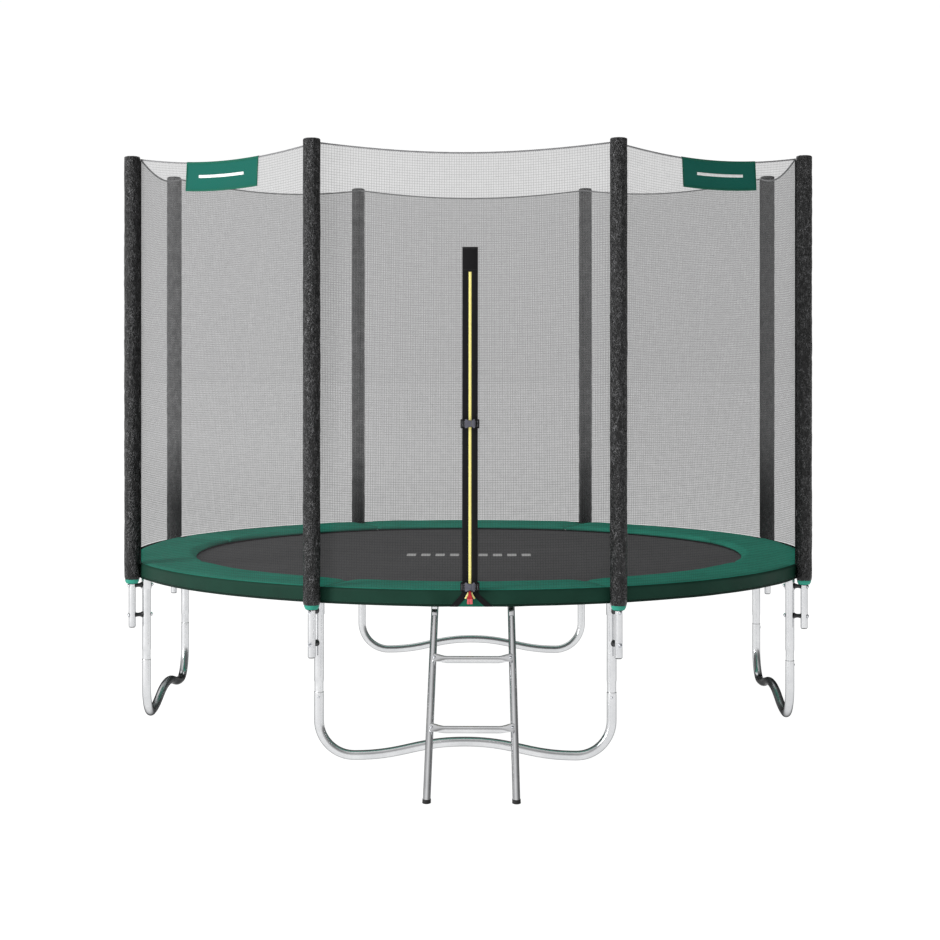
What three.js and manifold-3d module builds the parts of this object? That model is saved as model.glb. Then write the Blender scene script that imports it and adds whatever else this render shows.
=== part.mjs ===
// A 10 ft garden trampoline with an enclosure net, as an assembly of separate parts.
// Millimetres, +Z up. The origin is on the floor under the middle of the bounding box.
// -Y is the front, where the net door and the ladder are.

import * as THREE from 'three';
import { mergeVertices } from 'three/addons/utils/BufferGeometryUtils.js';
import Module from 'manifold-3d';

// Stations: eight places round the frame, each with a leg upright and a net pole.
const stationCount = 8;
const stationStep = (2 * Math.PI) / stationCount;
const firstStationAngle = -Math.PI / 2 - stationStep / 2;

// Frame tube and top rails
const tubeSides = 12;
const frameTubeRadius = 19;
const railRadius = 1509;
const railHeight = 641;
const railSteps = 9;
const railJointAngle = 0.07;
const jointGap = 0.3;

// Leg sockets welded under the rails, and the uprights that stand in them
const socketRadius = 21.5;
const socketBottom = 575;
const socketBoreRadius = 19.9;
const socketBoreTop = 618;
const neckRadius = 17.3;
const neckBottom = 232;
const neckTaperBottom = 308;
const neckTaperTop = 316;

// U-shaped legs: each stands on two low points and arches up between them
const legTop = 268;
const legBendRadius = 139;
const legCrestHeight = 73;
const legBoreRadius = 18.1;
const legBoreDepth = 40;
const legSteps = 34;

// Net poles, their spacers and bolts
const poleCircleRadius = 1572;
const poleTubeRadius = 15;
const poleBottom = 413;
const poleTop = 2438;
const upperBoltHeight = 592;
const lowerBoltHeight = 464;
const spacerWidth = 22;
const spacerHeight = 26;
const spacerEmbed = 8;
const boltHeadRadius = 8;
const boltHeadLength = 7;
const boltSides = 8;
const nutRadius = 8;
const nutLength = 9;

// Foam sleeves round the poles, closed by a cap at the top
const foamRadius = 34.5;
const foamBoreRadius = 16;
const foamBottom = 619;
const foamTop = 2452;
const foamTopEdge = 6;
const foamSides = 16;

// Jumping mat and its springs
const matRadius = 1305;
const matTop = 664;
const matThickness = 4;
const matSides = 64;
const springCount = 64;
const springRingInner = 1308;
const springRingOuter = 1325;
const springEnd = 1488;
const springHalfWidth = 9;
const springBottom = 648;
const springThickness = 14;

// Safety pad with its skirt
const padInnerRadius = 1263;
const padOuterRadius = 1536.5;
const padBottom = 668;
const padTop = 688;
const padEdge = 9;
const skirtThickness = 3;
const skirtBottom = 624;
const padSides = 80;

// Enclosure net: round at the pad, straight between the poles at the top
const netOuterRadius = 1535;
const netThickness = 3;
const netBottom = 689.5;
const netTopAtPoles = 2432;
const netSag = 42;
const netSides = 64;
const netRowShares = [0, 1 / 3, 2 / 3, 1];
const netOverrun = 0.03;
const ropeRadius = 3.5;
const ropeSides = 6;
const ropeLift = 4;

// Net door: band, zip, slider and pull
const doorCentreX = 20;
const bandWidth = 61;
const bandThickness = 2.5;
const bandBottom = 16;
const bandTop = 1336;
const zipWidth = 12.6;
const zipThickness = 2;
const zipBottom = 18;
const zipTop = 1238;
const layerGap = 0.8;
const sliderWidth = 18;
const sliderDepth = 6;
const sliderLength = 26;
const sliderBottom = -12;
const earWidth = 2.5;
const earDepth = 4.2;
const earLength = 8;
const pullWidth = 22;
const pullThickness = 2.5;
const pullLength = 50;
const pullTop = -7;
const pullOffset = 14.2;
const pullNotchWidth = 6;
const pullNotchLength = 24;

// Side-release buckles, in front of the zip so that the slider passes behind them
const buckleBack = 17;
const buckleDepth = 12;
const buckleHeight = 34;
const femaleLength = 25;
const maleBaseLength = 14;
const buckleWall = 2.5;
const prongLength = 20;
const prongHeight = 6;
const prongFit = 0.6;
const upperBuckleHeight = 643;
const lowerBuckleHeight = 11;

// Straps that tie the door down over the skirt
const strapSpread = 65;
const strapHalfWidth = 15;
const strapTop = 684;
const strapBottom = 628;
const strapThickness = 2;

// Name banners left blank, hung on the two front side panels
const bannerWidth = 480;
const bannerHeight = 124;
const bannerThickness = 2;
const bannerRise = 7;
const bannerClearance = 3;
const leftBannerShift = -10;
const rightBannerShift = 61;

// Ladder: two stiles that hook over the rail, two rungs, two rubber feet
const ladderCentreX = 32;
const ladderHookReach = 1500.4;
const stileRadius = 14;
const stileHalfSpacingTop = 149;
const stileHalfSpacingBottom = 161;
const stileTopOut = 27;
const stileTopDrop = 52;
const stileFootOut = 640;
const stileFootHeight = 13;
const hookInnerRadius = 24.2;
const hookThickness = 2.5;
const hookWidth = 20;
const hookTipAngle = -0.5;
const hookArcSegments = 14;
const rungRadius = 12.5;
const rungHeights = { upper: 439, lower: 217 };
const footRadius = 16;
const footSleeveLength = 12;
const footBoreRadius = 14.4;
const footReach = 60;
const skirtSlotWidth = 46;

const wasm = await Module();
wasm.setup();

// ---- Solids: helpers for joining and cutting closed meshes ----

const mergeTolerance = 1e-3;

function toSolid(geometry) {
  const bare = geometry.clone();
  bare.deleteAttribute('normal');
  bare.deleteAttribute('uv');
  const merged = mergeVertices(bare, mergeTolerance);
  return new wasm.Manifold(new wasm.Mesh({
    numProp: 3,
    vertProperties: Float32Array.from(merged.attributes.position.array),
    triVerts: Uint32Array.from(merged.index.array),
  }));
}

function toGeometry(solid) {
  const { vertProperties, triVerts } = solid.getMesh();
  const geometry = new THREE.BufferGeometry();
  geometry.setAttribute('position', new THREE.BufferAttribute(vertProperties, 3));
  geometry.setIndex(new THREE.BufferAttribute(triVerts, 1));
  geometry.computeVertexNormals();
  return geometry;
}

function join(first, ...others) {
  return toGeometry(others.reduce((solid, other) => solid.add(toSolid(other)), toSolid(first)));
}

function cut(first, ...tools) {
  return toGeometry(tools.reduce((solid, tool) => solid.subtract(toSolid(tool)), toSolid(first)));
}

// ---- Basic shapes ----

// A box given by its lowest and highest corners.
function block(low, high) {
  const size = high.map((value, axis) => value - low[axis]);
  const middle = high.map((value, axis) => (value + low[axis]) / 2);
  return new THREE.BoxGeometry(...size).translate(...middle);
}

// A rod standing on +Z between two heights.
function uprightRod(radius, bottom, top, sides = tubeSides) {
  const rod = new THREE.CylinderGeometry(radius, radius, top - bottom, sides);
  return rod.rotateX(Math.PI / 2).translate(0, 0, (top + bottom) / 2);
}

// A rod along +X between two places.
function radialRod(radius, from, to, height, sides) {
  const rod = new THREE.CylinderGeometry(radius, radius, to - from, sides);
  return rod.rotateZ(-Math.PI / 2).translate((from + to) / 2, 0, height);
}

// A rod between two points.
function rodBetween(start, end, radius, sides = tubeSides) {
  const direction = end.clone().sub(start);
  const rod = new THREE.CylinderGeometry(radius, radius, direction.length(), sides);
  const turn = new THREE.Quaternion().setFromUnitVectors(
    new THREE.Vector3(0, 1, 0),
    direction.clone().normalize(),
  );
  const middle = start.clone().add(end).multiplyScalar(0.5);
  return rod.applyQuaternion(turn).translate(middle.x, middle.y, middle.z);
}

// A turned shape: a profile of [radius, height] pairs revolved round +Z.
function turned(profile, sides) {
  const points = profile.map(([radius, height]) => new THREE.Vector2(radius, height));
  return new THREE.LatheGeometry(points, sides).rotateX(Math.PI / 2);
}

// A many-sided section with a flat side facing each way, so that a tube can lie on a flat.
function tubeSection(radius, sides = tubeSides) {
  const section = new THREE.Shape();
  section.setFromPoints(Array.from({ length: sides }, (_, side) => {
    const angle = ((side + 0.5) * 2 * Math.PI) / sides;
    return new THREE.Vector2(Math.cos(angle), Math.sin(angle)).multiplyScalar(radius);
  }));
  return section;
}

function sweptTube(path, radius, steps) {
  return new THREE.ExtrudeGeometry(tubeSection(radius), { extrudePath: path, steps });
}

// Part of a level circle round the Z axis.
class LevelArc extends THREE.Curve {
  constructor(radius, height, startAngle, endAngle) {
    super();
    Object.assign(this, { radius, height, startAngle, endAngle });
  }

  getPoint(share, target = new THREE.Vector3()) {
    const angle = THREE.MathUtils.lerp(this.startAngle, this.endAngle, share);
    return target.set(
      this.radius * Math.cos(angle),
      this.radius * Math.sin(angle),
      this.height,
    );
  }
}

// ---- Materials ----

function surface(color, roughness, metalness) {
  return new THREE.MeshStandardMaterial({ color, roughness, metalness });
}

const galvanisedSteel = () => surface(0xb9bec2, 0.32, 0.9);
const springSteel = () => surface(0xa8acb0, 0.3, 0.9);
const blackFoam = () => surface(0x26272a, 0.7, 0);
const greenVinyl = () => surface(0x2f6b57, 0.45, 0);
const blackMatCloth = () => surface(0x303132, 0.8, 0);
const blackNet = () => surface(0x3a3a3c, 0.9, 0);
const greyRope = () => surface(0x7a7a7c, 0.85, 0);
const blackWebbing = () => surface(0x202022, 0.8, 0);
const yellowZip = () => surface(0xf5e58c, 0.5, 0);
const blackPlastic = () => surface(0x2c2c34, 0.4, 0);
const redPull = () => surface(0xc8322b, 0.5, 0);
const greenBanner = () => surface(0x1f7a63, 0.6, 0);
const blackRubber = () => surface(0x1c1c1d, 0.85, 0);

function addPart(parent, name, geometry, material) {
  const mesh = new THREE.Mesh(geometry, material);
  mesh.name = name;
  parent.add(mesh);
  return mesh;
}

// ---- Frame: rails, uprights and legs ----

// A curved rail with the leg socket welded under it and the upper bolt's nut on the socket.
function topRailGeometry() {
  const endGap = jointGap / railRadius;
  const arc = new LevelArc(
    railRadius,
    railHeight,
    -railJointAngle,
    stationStep - railJointAngle - endGap,
  );
  const rail = sweptTube(arc, frameTubeRadius, railSteps);
  const socket = uprightRod(socketRadius, socketBottom, railHeight).translate(railRadius, 0, 0);
  const bore = uprightRod(socketBoreRadius, socketBottom - 1, socketBoreTop)
    .translate(railRadius, 0, 0);
  const nutFace = railRadius - socketRadius;
  const nut = radialRod(nutRadius, nutFace - nutLength, nutFace + 1, upperBoltHeight, boltSides);
  return cut(join(rail, socket, nut), bore);
}

// An upright: its top stands in the rail's socket and its narrowed foot in the leg.
function legUprightGeometry() {
  const top = socketBoreTop - jointGap;
  const upright = turned([
    [0, neckBottom],
    [neckRadius, neckBottom],
    [neckRadius, neckTaperBottom],
    [frameTubeRadius, neckTaperTop],
    [frameTubeRadius, top],
    [0, top],
  ], tubeSides);
  const nutFace = -frameTubeRadius;
  const nut = radialRod(nutRadius, nutFace - nutLength, nutFace + 2, lowerBoltHeight, boltSides);
  return join(upright, nut);
}

// The leg's centre line: down one side, up over the middle arch and up the other side.
function legPath(halfSpan) {
  const floorLine = frameTubeRadius * Math.cos(Math.PI / tubeSides);
  const bendTop = floorLine + legBendRadius;
  const lowPlace = halfSpan - legBendRadius;
  const roundness = 0.5523 * legBendRadius;
  const archPull = 0.45 * lowPlace;
  const path = new THREE.CurvePath();
  const point = (along, height) => new THREE.Vector3(0, along, height);
  path.add(new THREE.LineCurve3(point(-halfSpan, legTop), point(-halfSpan, bendTop)));
  path.add(new THREE.CubicBezierCurve3(
    point(-halfSpan, bendTop),
    point(-halfSpan, bendTop - roundness),
    point(-lowPlace - roundness, floorLine),
    point(-lowPlace, floorLine),
  ));
  path.add(new THREE.CubicBezierCurve3(
    point(-lowPlace, floorLine),
    point(-lowPlace + archPull, floorLine),
    point(-archPull, legCrestHeight),
    point(0, legCrestHeight),
  ));
  path.add(new THREE.CubicBezierCurve3(
    point(0, legCrestHeight),
    point(archPull, legCrestHeight),
    point(lowPlace - archPull, floorLine),
    point(lowPlace, floorLine),
  ));
  path.add(new THREE.CubicBezierCurve3(
    point(lowPlace, floorLine),
    point(lowPlace + roundness, floorLine),
    point(halfSpan, bendTop - roundness),
    point(halfSpan, bendTop),
  ));
  path.add(new THREE.LineCurve3(point(halfSpan, bendTop), point(halfSpan, legTop)));
  return path;
}

function uLegGeometry(halfSpan) {
  const leg = sweptTube(legPath(halfSpan), frameTubeRadius, legSteps);
  const bores = [-halfSpan, halfSpan].map((along) => (
    uprightRod(legBoreRadius, legTop - legBoreDepth, legTop + 1).translate(0, along, 0)
  ));
  return cut(leg, ...bores);
}

// ---- Net poles ----

// A spacer block with its bolt's head on the outside of the pole.
function poleSpacer(height, reach) {
  const spacer = block(
    [-reach, -spacerWidth / 2, height - spacerHeight / 2],
    [-spacerEmbed, spacerWidth / 2, height + spacerHeight / 2],
  );
  const head = radialRod(
    boltHeadRadius,
    poleTubeRadius - 2,
    poleTubeRadius + boltHeadLength,
    height,
    boltSides,
  );
  return [spacer, head];
}

function netPoleGeometry() {
  const gapToUpright = poleCircleRadius - railRadius - frameTubeRadius - jointGap;
  const gapToSocket = poleCircleRadius - railRadius - socketRadius - jointGap;
  return join(
    uprightRod(poleTubeRadius, poleBottom, poleTop),
    ...poleSpacer(lowerBoltHeight, gapToUpright),
    ...poleSpacer(upperBoltHeight, gapToSocket),
  );
}

function foamSleeveGeometry() {
  const boreTop = poleTop + 1;
  return turned([
    [0, boreTop],
    [foamBoreRadius, boreTop],
    [foamBoreRadius, foamBottom],
    [foamRadius, foamBottom],
    [foamRadius, foamTop - foamTopEdge],
    [foamRadius - foamTopEdge, foamTop],
    [0, foamTop],
  ], foamSides);
}

// ---- Mat, springs and pad ----

function jumpingMatGeometry() {
  return uprightRod(matRadius, matTop - matThickness, matTop, matSides);
}

// All springs as bars on one thin ring at the edge of the mat.
function springSetGeometry() {
  const outline = new THREE.Shape();
  const corners = [];
  const place = (radius, angle) => new THREE.Vector2(
    radius * Math.cos(angle),
    radius * Math.sin(angle),
  );
  for (let spring = 0; spring < springCount; spring += 1) {
    const angle = ((spring + 0.5) * 2 * Math.PI) / springCount;
    const rootAngle = springHalfWidth / springRingOuter;
    const tipAngle = springHalfWidth / springEnd;
    corners.push(
      place(springRingOuter, angle - rootAngle),
      place(springEnd, angle - tipAngle),
      place(springEnd, angle + tipAngle),
      place(springRingOuter, angle + rootAngle),
    );
  }
  outline.setFromPoints(corners);
  const hole = new THREE.Path();
  hole.setFromPoints(Array.from({ length: springCount }, (_, side) => (
    place(springRingInner, (-side * 2 * Math.PI) / springCount)
  )));
  outline.holes.push(hole);
  const bars = new THREE.ExtrudeGeometry(outline, {
    depth: springThickness,
    bevelEnabled: false,
  });
  return bars.translate(0, 0, springBottom);
}

// The pad, with a slot in its skirt where each ladder hook comes out from under it.
function safetyPadGeometry() {
  const skirtInner = padOuterRadius - skirtThickness;
  const pad = turned([
    [padInnerRadius, padBottom],
    [skirtInner, padBottom],
    [skirtInner, skirtBottom],
    [padOuterRadius, skirtBottom],
    [padOuterRadius, padTop - padEdge],
    [padOuterRadius - padEdge, padTop],
    [padInnerRadius + padEdge, padTop],
    [padInnerRadius, padTop - padEdge],
    [padInnerRadius, padBottom],
  ], padSides);
  const slots = [-stileHalfSpacingTop, stileHalfSpacingTop].map((along) => {
    const middle = ladderCentreX + along;
    return block(
      [middle - skirtSlotWidth / 2, -padOuterRadius - 1, skirtBottom - 1],
      [middle + skirtSlotWidth / 2, -railRadius, padBottom],
    );
  });
  return cut(pad, ...slots);
}

// ---- Enclosure net ----

// How far the net's line is from the axis in a direction, when stretched straight
// between the poles.
function straightRadius(cornerRadius, angle) {
  const turn = (angle - firstStationAngle) / stationStep;
  const fromMiddle = (turn - Math.floor(turn) - 0.5) * stationStep;
  return (cornerRadius * Math.cos(stationStep / 2)) / Math.cos(fromMiddle);
}

// Height of the net's top edge, which sags between the poles.
function netTopHeight(angle) {
  const turn = (angle - firstStationAngle) / stationStep;
  const fromMiddle = 2 * (turn - Math.floor(turn)) - 1;
  return netTopAtPoles - netSag * (1 - fromMiddle * fromMiddle);
}

// A closed solid as wide as the net's line: round at the bottom, straight-sided at the top.
function netFilling(radius, shares) {
  const filling = turned([
    [0, shares[0]],
    ...shares.map((share) => [radius, share]),
    [0, shares[shares.length - 1]],
  ], netSides);
  const places = filling.attributes.position;
  for (let index = 0; index < places.count; index += 1) {
    const [x, y, rise] = [places.getX(index), places.getY(index), places.getZ(index)];
    const angle = Math.atan2(y, x);
    const reach = Math.hypot(x, y);
    const netRadius = THREE.MathUtils.lerp(reach, straightRadius(reach, angle), rise);
    places.setXYZ(
      index,
      netRadius * Math.cos(angle),
      netRadius * Math.sin(angle),
      THREE.MathUtils.lerp(netBottom, netTopHeight(angle), rise),
    );
  }
  return filling;
}

// The net is the wall between two such solids. Both are split along the same diagonals, so
// the wall keeps its thickness where it twists.
function enclosureNetGeometry() {
  return cut(
    netFilling(netOuterRadius, netRowShares),
    netFilling(netOuterRadius - netThickness, [-netOverrun, ...netRowShares, 1 + netOverrun]),
  );
}

function netRopeGeometry() {
  const ropeLine = netOuterRadius - netThickness / 2;
  const rope = new THREE.TorusGeometry(ropeLine, ropeRadius, ropeSides, netSides);
  const places = rope.attributes.position;
  for (let index = 0; index < places.count; index += 1) {
    const [x, y, z] = [places.getX(index), places.getY(index), places.getZ(index)];
    const angle = Math.atan2(y, x);
    const radius = Math.hypot(x, y) - ropeLine + straightRadius(ropeLine, angle);
    places.setXYZ(
      index,
      radius * Math.cos(angle),
      radius * Math.sin(angle),
      z + netTopHeight(angle) + ropeLift,
    );
  }
  return rope;
}

// The net leans in towards the top, because the straight line between two poles
// is nearer to the axis than the pad's round edge.
const netMiddleInset = netOuterRadius * (1 - Math.cos(stationStep / 2));
const netLean = Math.atan2(netMiddleInset, netTopAtPoles - netSag - netBottom);

// ---- Net door, in its own frame: +Z up along the net, -Y away from the net ----

function layer(width, back, thickness, bottom, top) {
  return block([-width / 2, -back - thickness, bottom], [width / 2, -back, top]);
}

const zipBack = layerGap + bandThickness + jointGap;
const sliderBack = zipBack + zipThickness + jointGap;

// The slider, with an ear on each side of the pull's hinge.
function zipSliderGeometry() {
  const body = layer(
    sliderWidth,
    sliderBack,
    sliderDepth,
    sliderBottom,
    sliderBottom + sliderLength,
  );
  const front = sliderBack + sliderDepth;
  const inner = pullWidth / 2 + jointGap;
  const bridge = block(
    [-inner - earWidth, -front, pullTop - earLength / 2],
    [inner + earWidth, -front + 2, pullTop + earLength / 2],
  );
  const ears = [-1, 1].map((side) => block(
    [Math.min(side * inner, side * (inner + earWidth)), -front - earDepth, pullTop - earLength / 2],
    [Math.max(side * inner, side * (inner + earWidth)), -front + 1, pullTop + earLength / 2],
  ));
  return join(body, bridge, ...ears);
}

// The pull, split into two tails, hung from its top edge at the origin.
function zipPullGeometry() {
  const half = pullWidth / 2;
  const notch = pullNotchWidth / 2;
  const outline = new THREE.Shape();
  outline.setFromPoints([
    new THREE.Vector2(-half, 1),
    new THREE.Vector2(-half, -pullLength),
    new THREE.Vector2(-notch, -pullLength),
    new THREE.Vector2(0, -pullLength + pullNotchLength),
    new THREE.Vector2(notch, -pullLength),
    new THREE.Vector2(half, -pullLength),
    new THREE.Vector2(half, 1),
  ]);
  const pull = new THREE.ExtrudeGeometry(outline, {
    depth: pullThickness,
    bevelEnabled: false,
  });
  return pull.rotateX(Math.PI / 2).translate(0, pullThickness / 2, 0);
}

// The socket half of a buckle, open on its right side.
function buckleSocketGeometry() {
  const half = buckleHeight / 2;
  const body = block([-femaleLength, -buckleDepth, -half], [0, 0, half]);
  const cavity = block(
    [-prongLength - prongFit, -buckleDepth + buckleWall, -half + buckleWall],
    [1, -buckleWall, half - buckleWall],
  );
  return cut(body, cavity);
}

// The prong half of a buckle: a base with a middle tongue and two side prongs.
function bucklePlugGeometry() {
  const half = buckleHeight / 2;
  const base = block([jointGap, -buckleDepth, -half], [maleBaseLength, 0, half]);
  const back = -buckleWall - prongFit;
  const front = -buckleDepth + buckleWall + prongFit;
  const edge = half - buckleWall - prongFit;
  const prongs = [-edge, -prongHeight / 2, edge - prongHeight].map((bottom) => (
    block([-prongLength, front, bottom], [jointGap + 1, back, bottom + prongHeight])
  ));
  return join(base, ...prongs);
}

// Two straps that spread from the lower buckle down over the skirt.
function doorStrapsGeometry() {
  const outline = new THREE.Shape();
  outline.setFromPoints([
    new THREE.Vector2(-strapHalfWidth, strapTop),
    new THREE.Vector2(-strapSpread - strapHalfWidth, strapBottom),
    new THREE.Vector2(-strapSpread + strapHalfWidth, strapBottom),
    new THREE.Vector2(0, strapTop - 2 * strapHalfWidth),
    new THREE.Vector2(strapSpread - strapHalfWidth, strapBottom),
    new THREE.Vector2(strapSpread + strapHalfWidth, strapBottom),
    new THREE.Vector2(strapHalfWidth, strapTop),
  ]);
  const straps = new THREE.ExtrudeGeometry(outline, {
    depth: strapThickness,
    bevelEnabled: false,
  });
  return straps.rotateX(Math.PI / 2);
}

function buildDoor(parent) {
  const door = new THREE.Group();
  door.position.set(doorCentreX, -netOuterRadius, netBottom);
  door.rotation.x = -netLean;
  parent.add(door);
  const band = layer(bandWidth, layerGap, bandThickness, bandBottom, bandTop);
  const zip = layer(zipWidth, zipBack, zipThickness, zipBottom, zipTop);
  addPart(door, 'door_band', band, blackWebbing());
  addPart(door, 'zip_chain', zip, yellowZip());
  addPart(door, 'zip_slider', zipSliderGeometry(), blackPlastic());
  const pull = addPart(door, 'zip_pull', zipPullGeometry(), redPull());
  pull.position.set(0, -pullOffset, pullTop);
  const buckles = { upper: upperBuckleHeight, lower: lowerBuckleHeight };
  for (const [place, height] of Object.entries(buckles)) {
    const socket = addPart(
      door, `${place}_buckle_socket`, buckleSocketGeometry(), blackPlastic(),
    );
    const plug = addPart(door, `${place}_buckle_plug`, bucklePlugGeometry(), blackPlastic());
    for (const half of [socket, plug]) {
      half.position.set((femaleLength - maleBaseLength) / 2, -buckleBack, height);
    }
  }
  const straps = addPart(parent, 'door_straps', doorStrapsGeometry(), blackWebbing());
  straps.position.set(doorCentreX, -padOuterRadius - layerGap, 0);
}

// A blank banner hung outside the top of one net panel, to one side of the panel's middle.
function buildBanner(parent, name, panelAngle, shift) {
  const panel = new THREE.Group();
  panel.rotation.z = panelAngle;
  parent.add(panel);
  const banner = addPart(
    panel,
    name,
    block(
      [0, -bannerWidth / 2, -bannerHeight],
      [bannerThickness, bannerWidth / 2, 0],
    ),
    greenBanner(),
  );
  banner.rotation.y = -netLean;
  banner.position.set(
    netOuterRadius - netMiddleInset + bannerClearance,
    shift,
    netTopAtPoles - netSag + bannerRise,
  );
}

// ---- Ladder, in a frame whose origin is on the rail's centre line at the hooks ----

function stilePoint(side, share) {
  const spacing = THREE.MathUtils.lerp(stileHalfSpacingTop, stileHalfSpacingBottom, share);
  return new THREE.Vector3(
    side * spacing,
    -THREE.MathUtils.lerp(stileTopOut, stileFootOut, share),
    THREE.MathUtils.lerp(-stileTopDrop, stileFootHeight - railHeight, share),
  );
}

// A flat hook over the rail, with a neck that runs down to the top of the stile.
function hookGeometry(side) {
  const outer = hookInnerRadius + hookThickness;
  const neckEnd = -stileTopDrop - stileRadius / 2;
  const arcPoint = (radius, step) => {
    const angle = THREE.MathUtils.lerp(hookTipAngle, Math.PI, step / hookArcSegments);
    return new THREE.Vector2(radius * Math.cos(angle), radius * Math.sin(angle));
  };
  const steps = Array.from({ length: hookArcSegments + 1 }, (_, step) => step);
  const outline = new THREE.Shape();
  outline.setFromPoints([
    ...steps.map((step) => arcPoint(outer, step)),
    new THREE.Vector2(-outer - hookThickness, neckEnd),
    new THREE.Vector2(-hookInnerRadius, neckEnd),
    ...steps.map((step) => arcPoint(hookInnerRadius, step)).reverse(),
  ]);
  const hook = new THREE.ExtrudeGeometry(outline, { depth: hookWidth, bevelEnabled: false });
  hook.translate(0, 0, -hookWidth / 2).rotateY(Math.PI / 2).rotateX(Math.PI / 2);
  return hook.translate(side * stileHalfSpacingTop, 0, 0);
}

function ladderStileGeometry(side) {
  const stile = rodBetween(stilePoint(side, 0), stilePoint(side, 1), stileRadius);
  return join(stile, hookGeometry(side));
}

function rungGeometry(height) {
  const drop = railHeight - height;
  const share = (drop - stileTopDrop) / (railHeight - stileFootHeight - stileTopDrop);
  const [start, end] = [-1, 1].map((side) => stilePoint(side, share));
  const inset = new THREE.Vector3(stileRadius + 2 * jointGap, 0, 0);
  return rodBetween(start.add(inset), end.sub(inset), rungRadius);
}

// A rubber cap on the end of a stile, cut off level where it stands on the floor.
function ladderFootGeometry(side) {
  const [top, end] = [stilePoint(side, 0), stilePoint(side, 1)];
  const along = end.clone().sub(top).normalize();
  const sleeveStart = end.clone().addScaledVector(along, -footSleeveLength);
  const sleeve = rodBetween(
    sleeveStart, end.clone().addScaledVector(along, footReach), footRadius,
  );
  const bore = rodBetween(
    sleeveStart.clone().addScaledVector(along, -1),
    end.clone().addScaledVector(along, jointGap),
    footBoreRadius,
  );
  const floor = -railHeight;
  const belowFloor = block(
    [end.x - footReach, end.y - 2 * footReach, floor - 2 * footReach],
    [end.x + footReach, end.y + 2 * footReach, floor],
  );
  return cut(sleeve, bore, belowFloor);
}

function buildLadder(parent) {
  const ladder = new THREE.Group();
  ladder.position.set(ladderCentreX, -ladderHookReach, railHeight);
  parent.add(ladder);
  for (const [side, name] of [[-1, 'left'], [1, 'right']]) {
    addPart(ladder, `ladder_stile_${name}`, ladderStileGeometry(side), galvanisedSteel());
    addPart(ladder, `ladder_foot_${name}`, ladderFootGeometry(side), blackRubber());
  }
  for (const [name, height] of Object.entries(rungHeights)) {
    addPart(ladder, `ladder_rung_${name}`, rungGeometry(height), galvanisedSteel());
  }
}

// ---- Assembly ----

function buildStations(parent) {
  for (let index = 0; index < stationCount; index += 1) {
    const station = new THREE.Group();
    station.rotation.z = firstStationAngle + index * stationStep;
    parent.add(station);
    const number = index + 1;
    addPart(station, `top_rail_${number}`, topRailGeometry(), galvanisedSteel());
    const upright = addPart(
      station, `leg_upright_${number}`, legUprightGeometry(), galvanisedSteel(),
    );
    upright.position.x = railRadius;
    const pole = addPart(station, `net_pole_${number}`, netPoleGeometry(), galvanisedSteel());
    pole.position.x = poleCircleRadius;
    const sleeve = addPart(
      station, `foam_sleeve_${number}`, foamSleeveGeometry(), blackFoam(),
    );
    sleeve.position.x = poleCircleRadius;
  }
}

function buildLegs(parent) {
  const halfSpan = railRadius * Math.sin(stationStep / 2);
  ['front', 'right', 'rear', 'left'].forEach((name, quarter) => {
    const side = new THREE.Group();
    side.rotation.z = -Math.PI / 2 + (quarter * Math.PI) / 2;
    parent.add(side);
    const leg = addPart(side, `u_leg_${name}`, uLegGeometry(halfSpan), galvanisedSteel());
    leg.position.x = railRadius * Math.cos(stationStep / 2);
  });
}

function buildTrampoline() {
  const trampoline = new THREE.Group();
  buildStations(trampoline);
  buildLegs(trampoline);
  addPart(trampoline, 'jumping_mat', jumpingMatGeometry(), blackMatCloth());
  addPart(trampoline, 'spring_set', springSetGeometry(), springSteel());
  addPart(trampoline, 'safety_pad', safetyPadGeometry(), greenVinyl());
  addPart(trampoline, 'enclosure_net', enclosureNetGeometry(), blackNet());
  addPart(trampoline, 'net_rope', netRopeGeometry(), greyRope());
  buildDoor(trampoline);
  buildBanner(trampoline, 'banner_left', -Math.PI / 2 - stationStep, leftBannerShift);
  buildBanner(trampoline, 'banner_right', -Math.PI / 2 + stationStep, rightBannerShift);
  buildLadder(trampoline);
  return trampoline;
}

const trampoline = buildTrampoline();

// The ladder reaches further out at the front than the pad does at the rear, so the
// trampoline stands back from the origin by half of the difference.
const box = new THREE.Box3().setFromObject(trampoline, true);
trampoline.position.y = -(box.min.y + box.max.y) / 2;

export default trampoline;
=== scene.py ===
"""The looks of a garden trampoline with an enclosure net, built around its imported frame.

Metres, +Z up. -Y is the front, where the net door and the ladder are.
"""

import math

import bmesh
import bpy
import numpy as np
from mathutils import Matrix, Vector, noise


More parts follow.
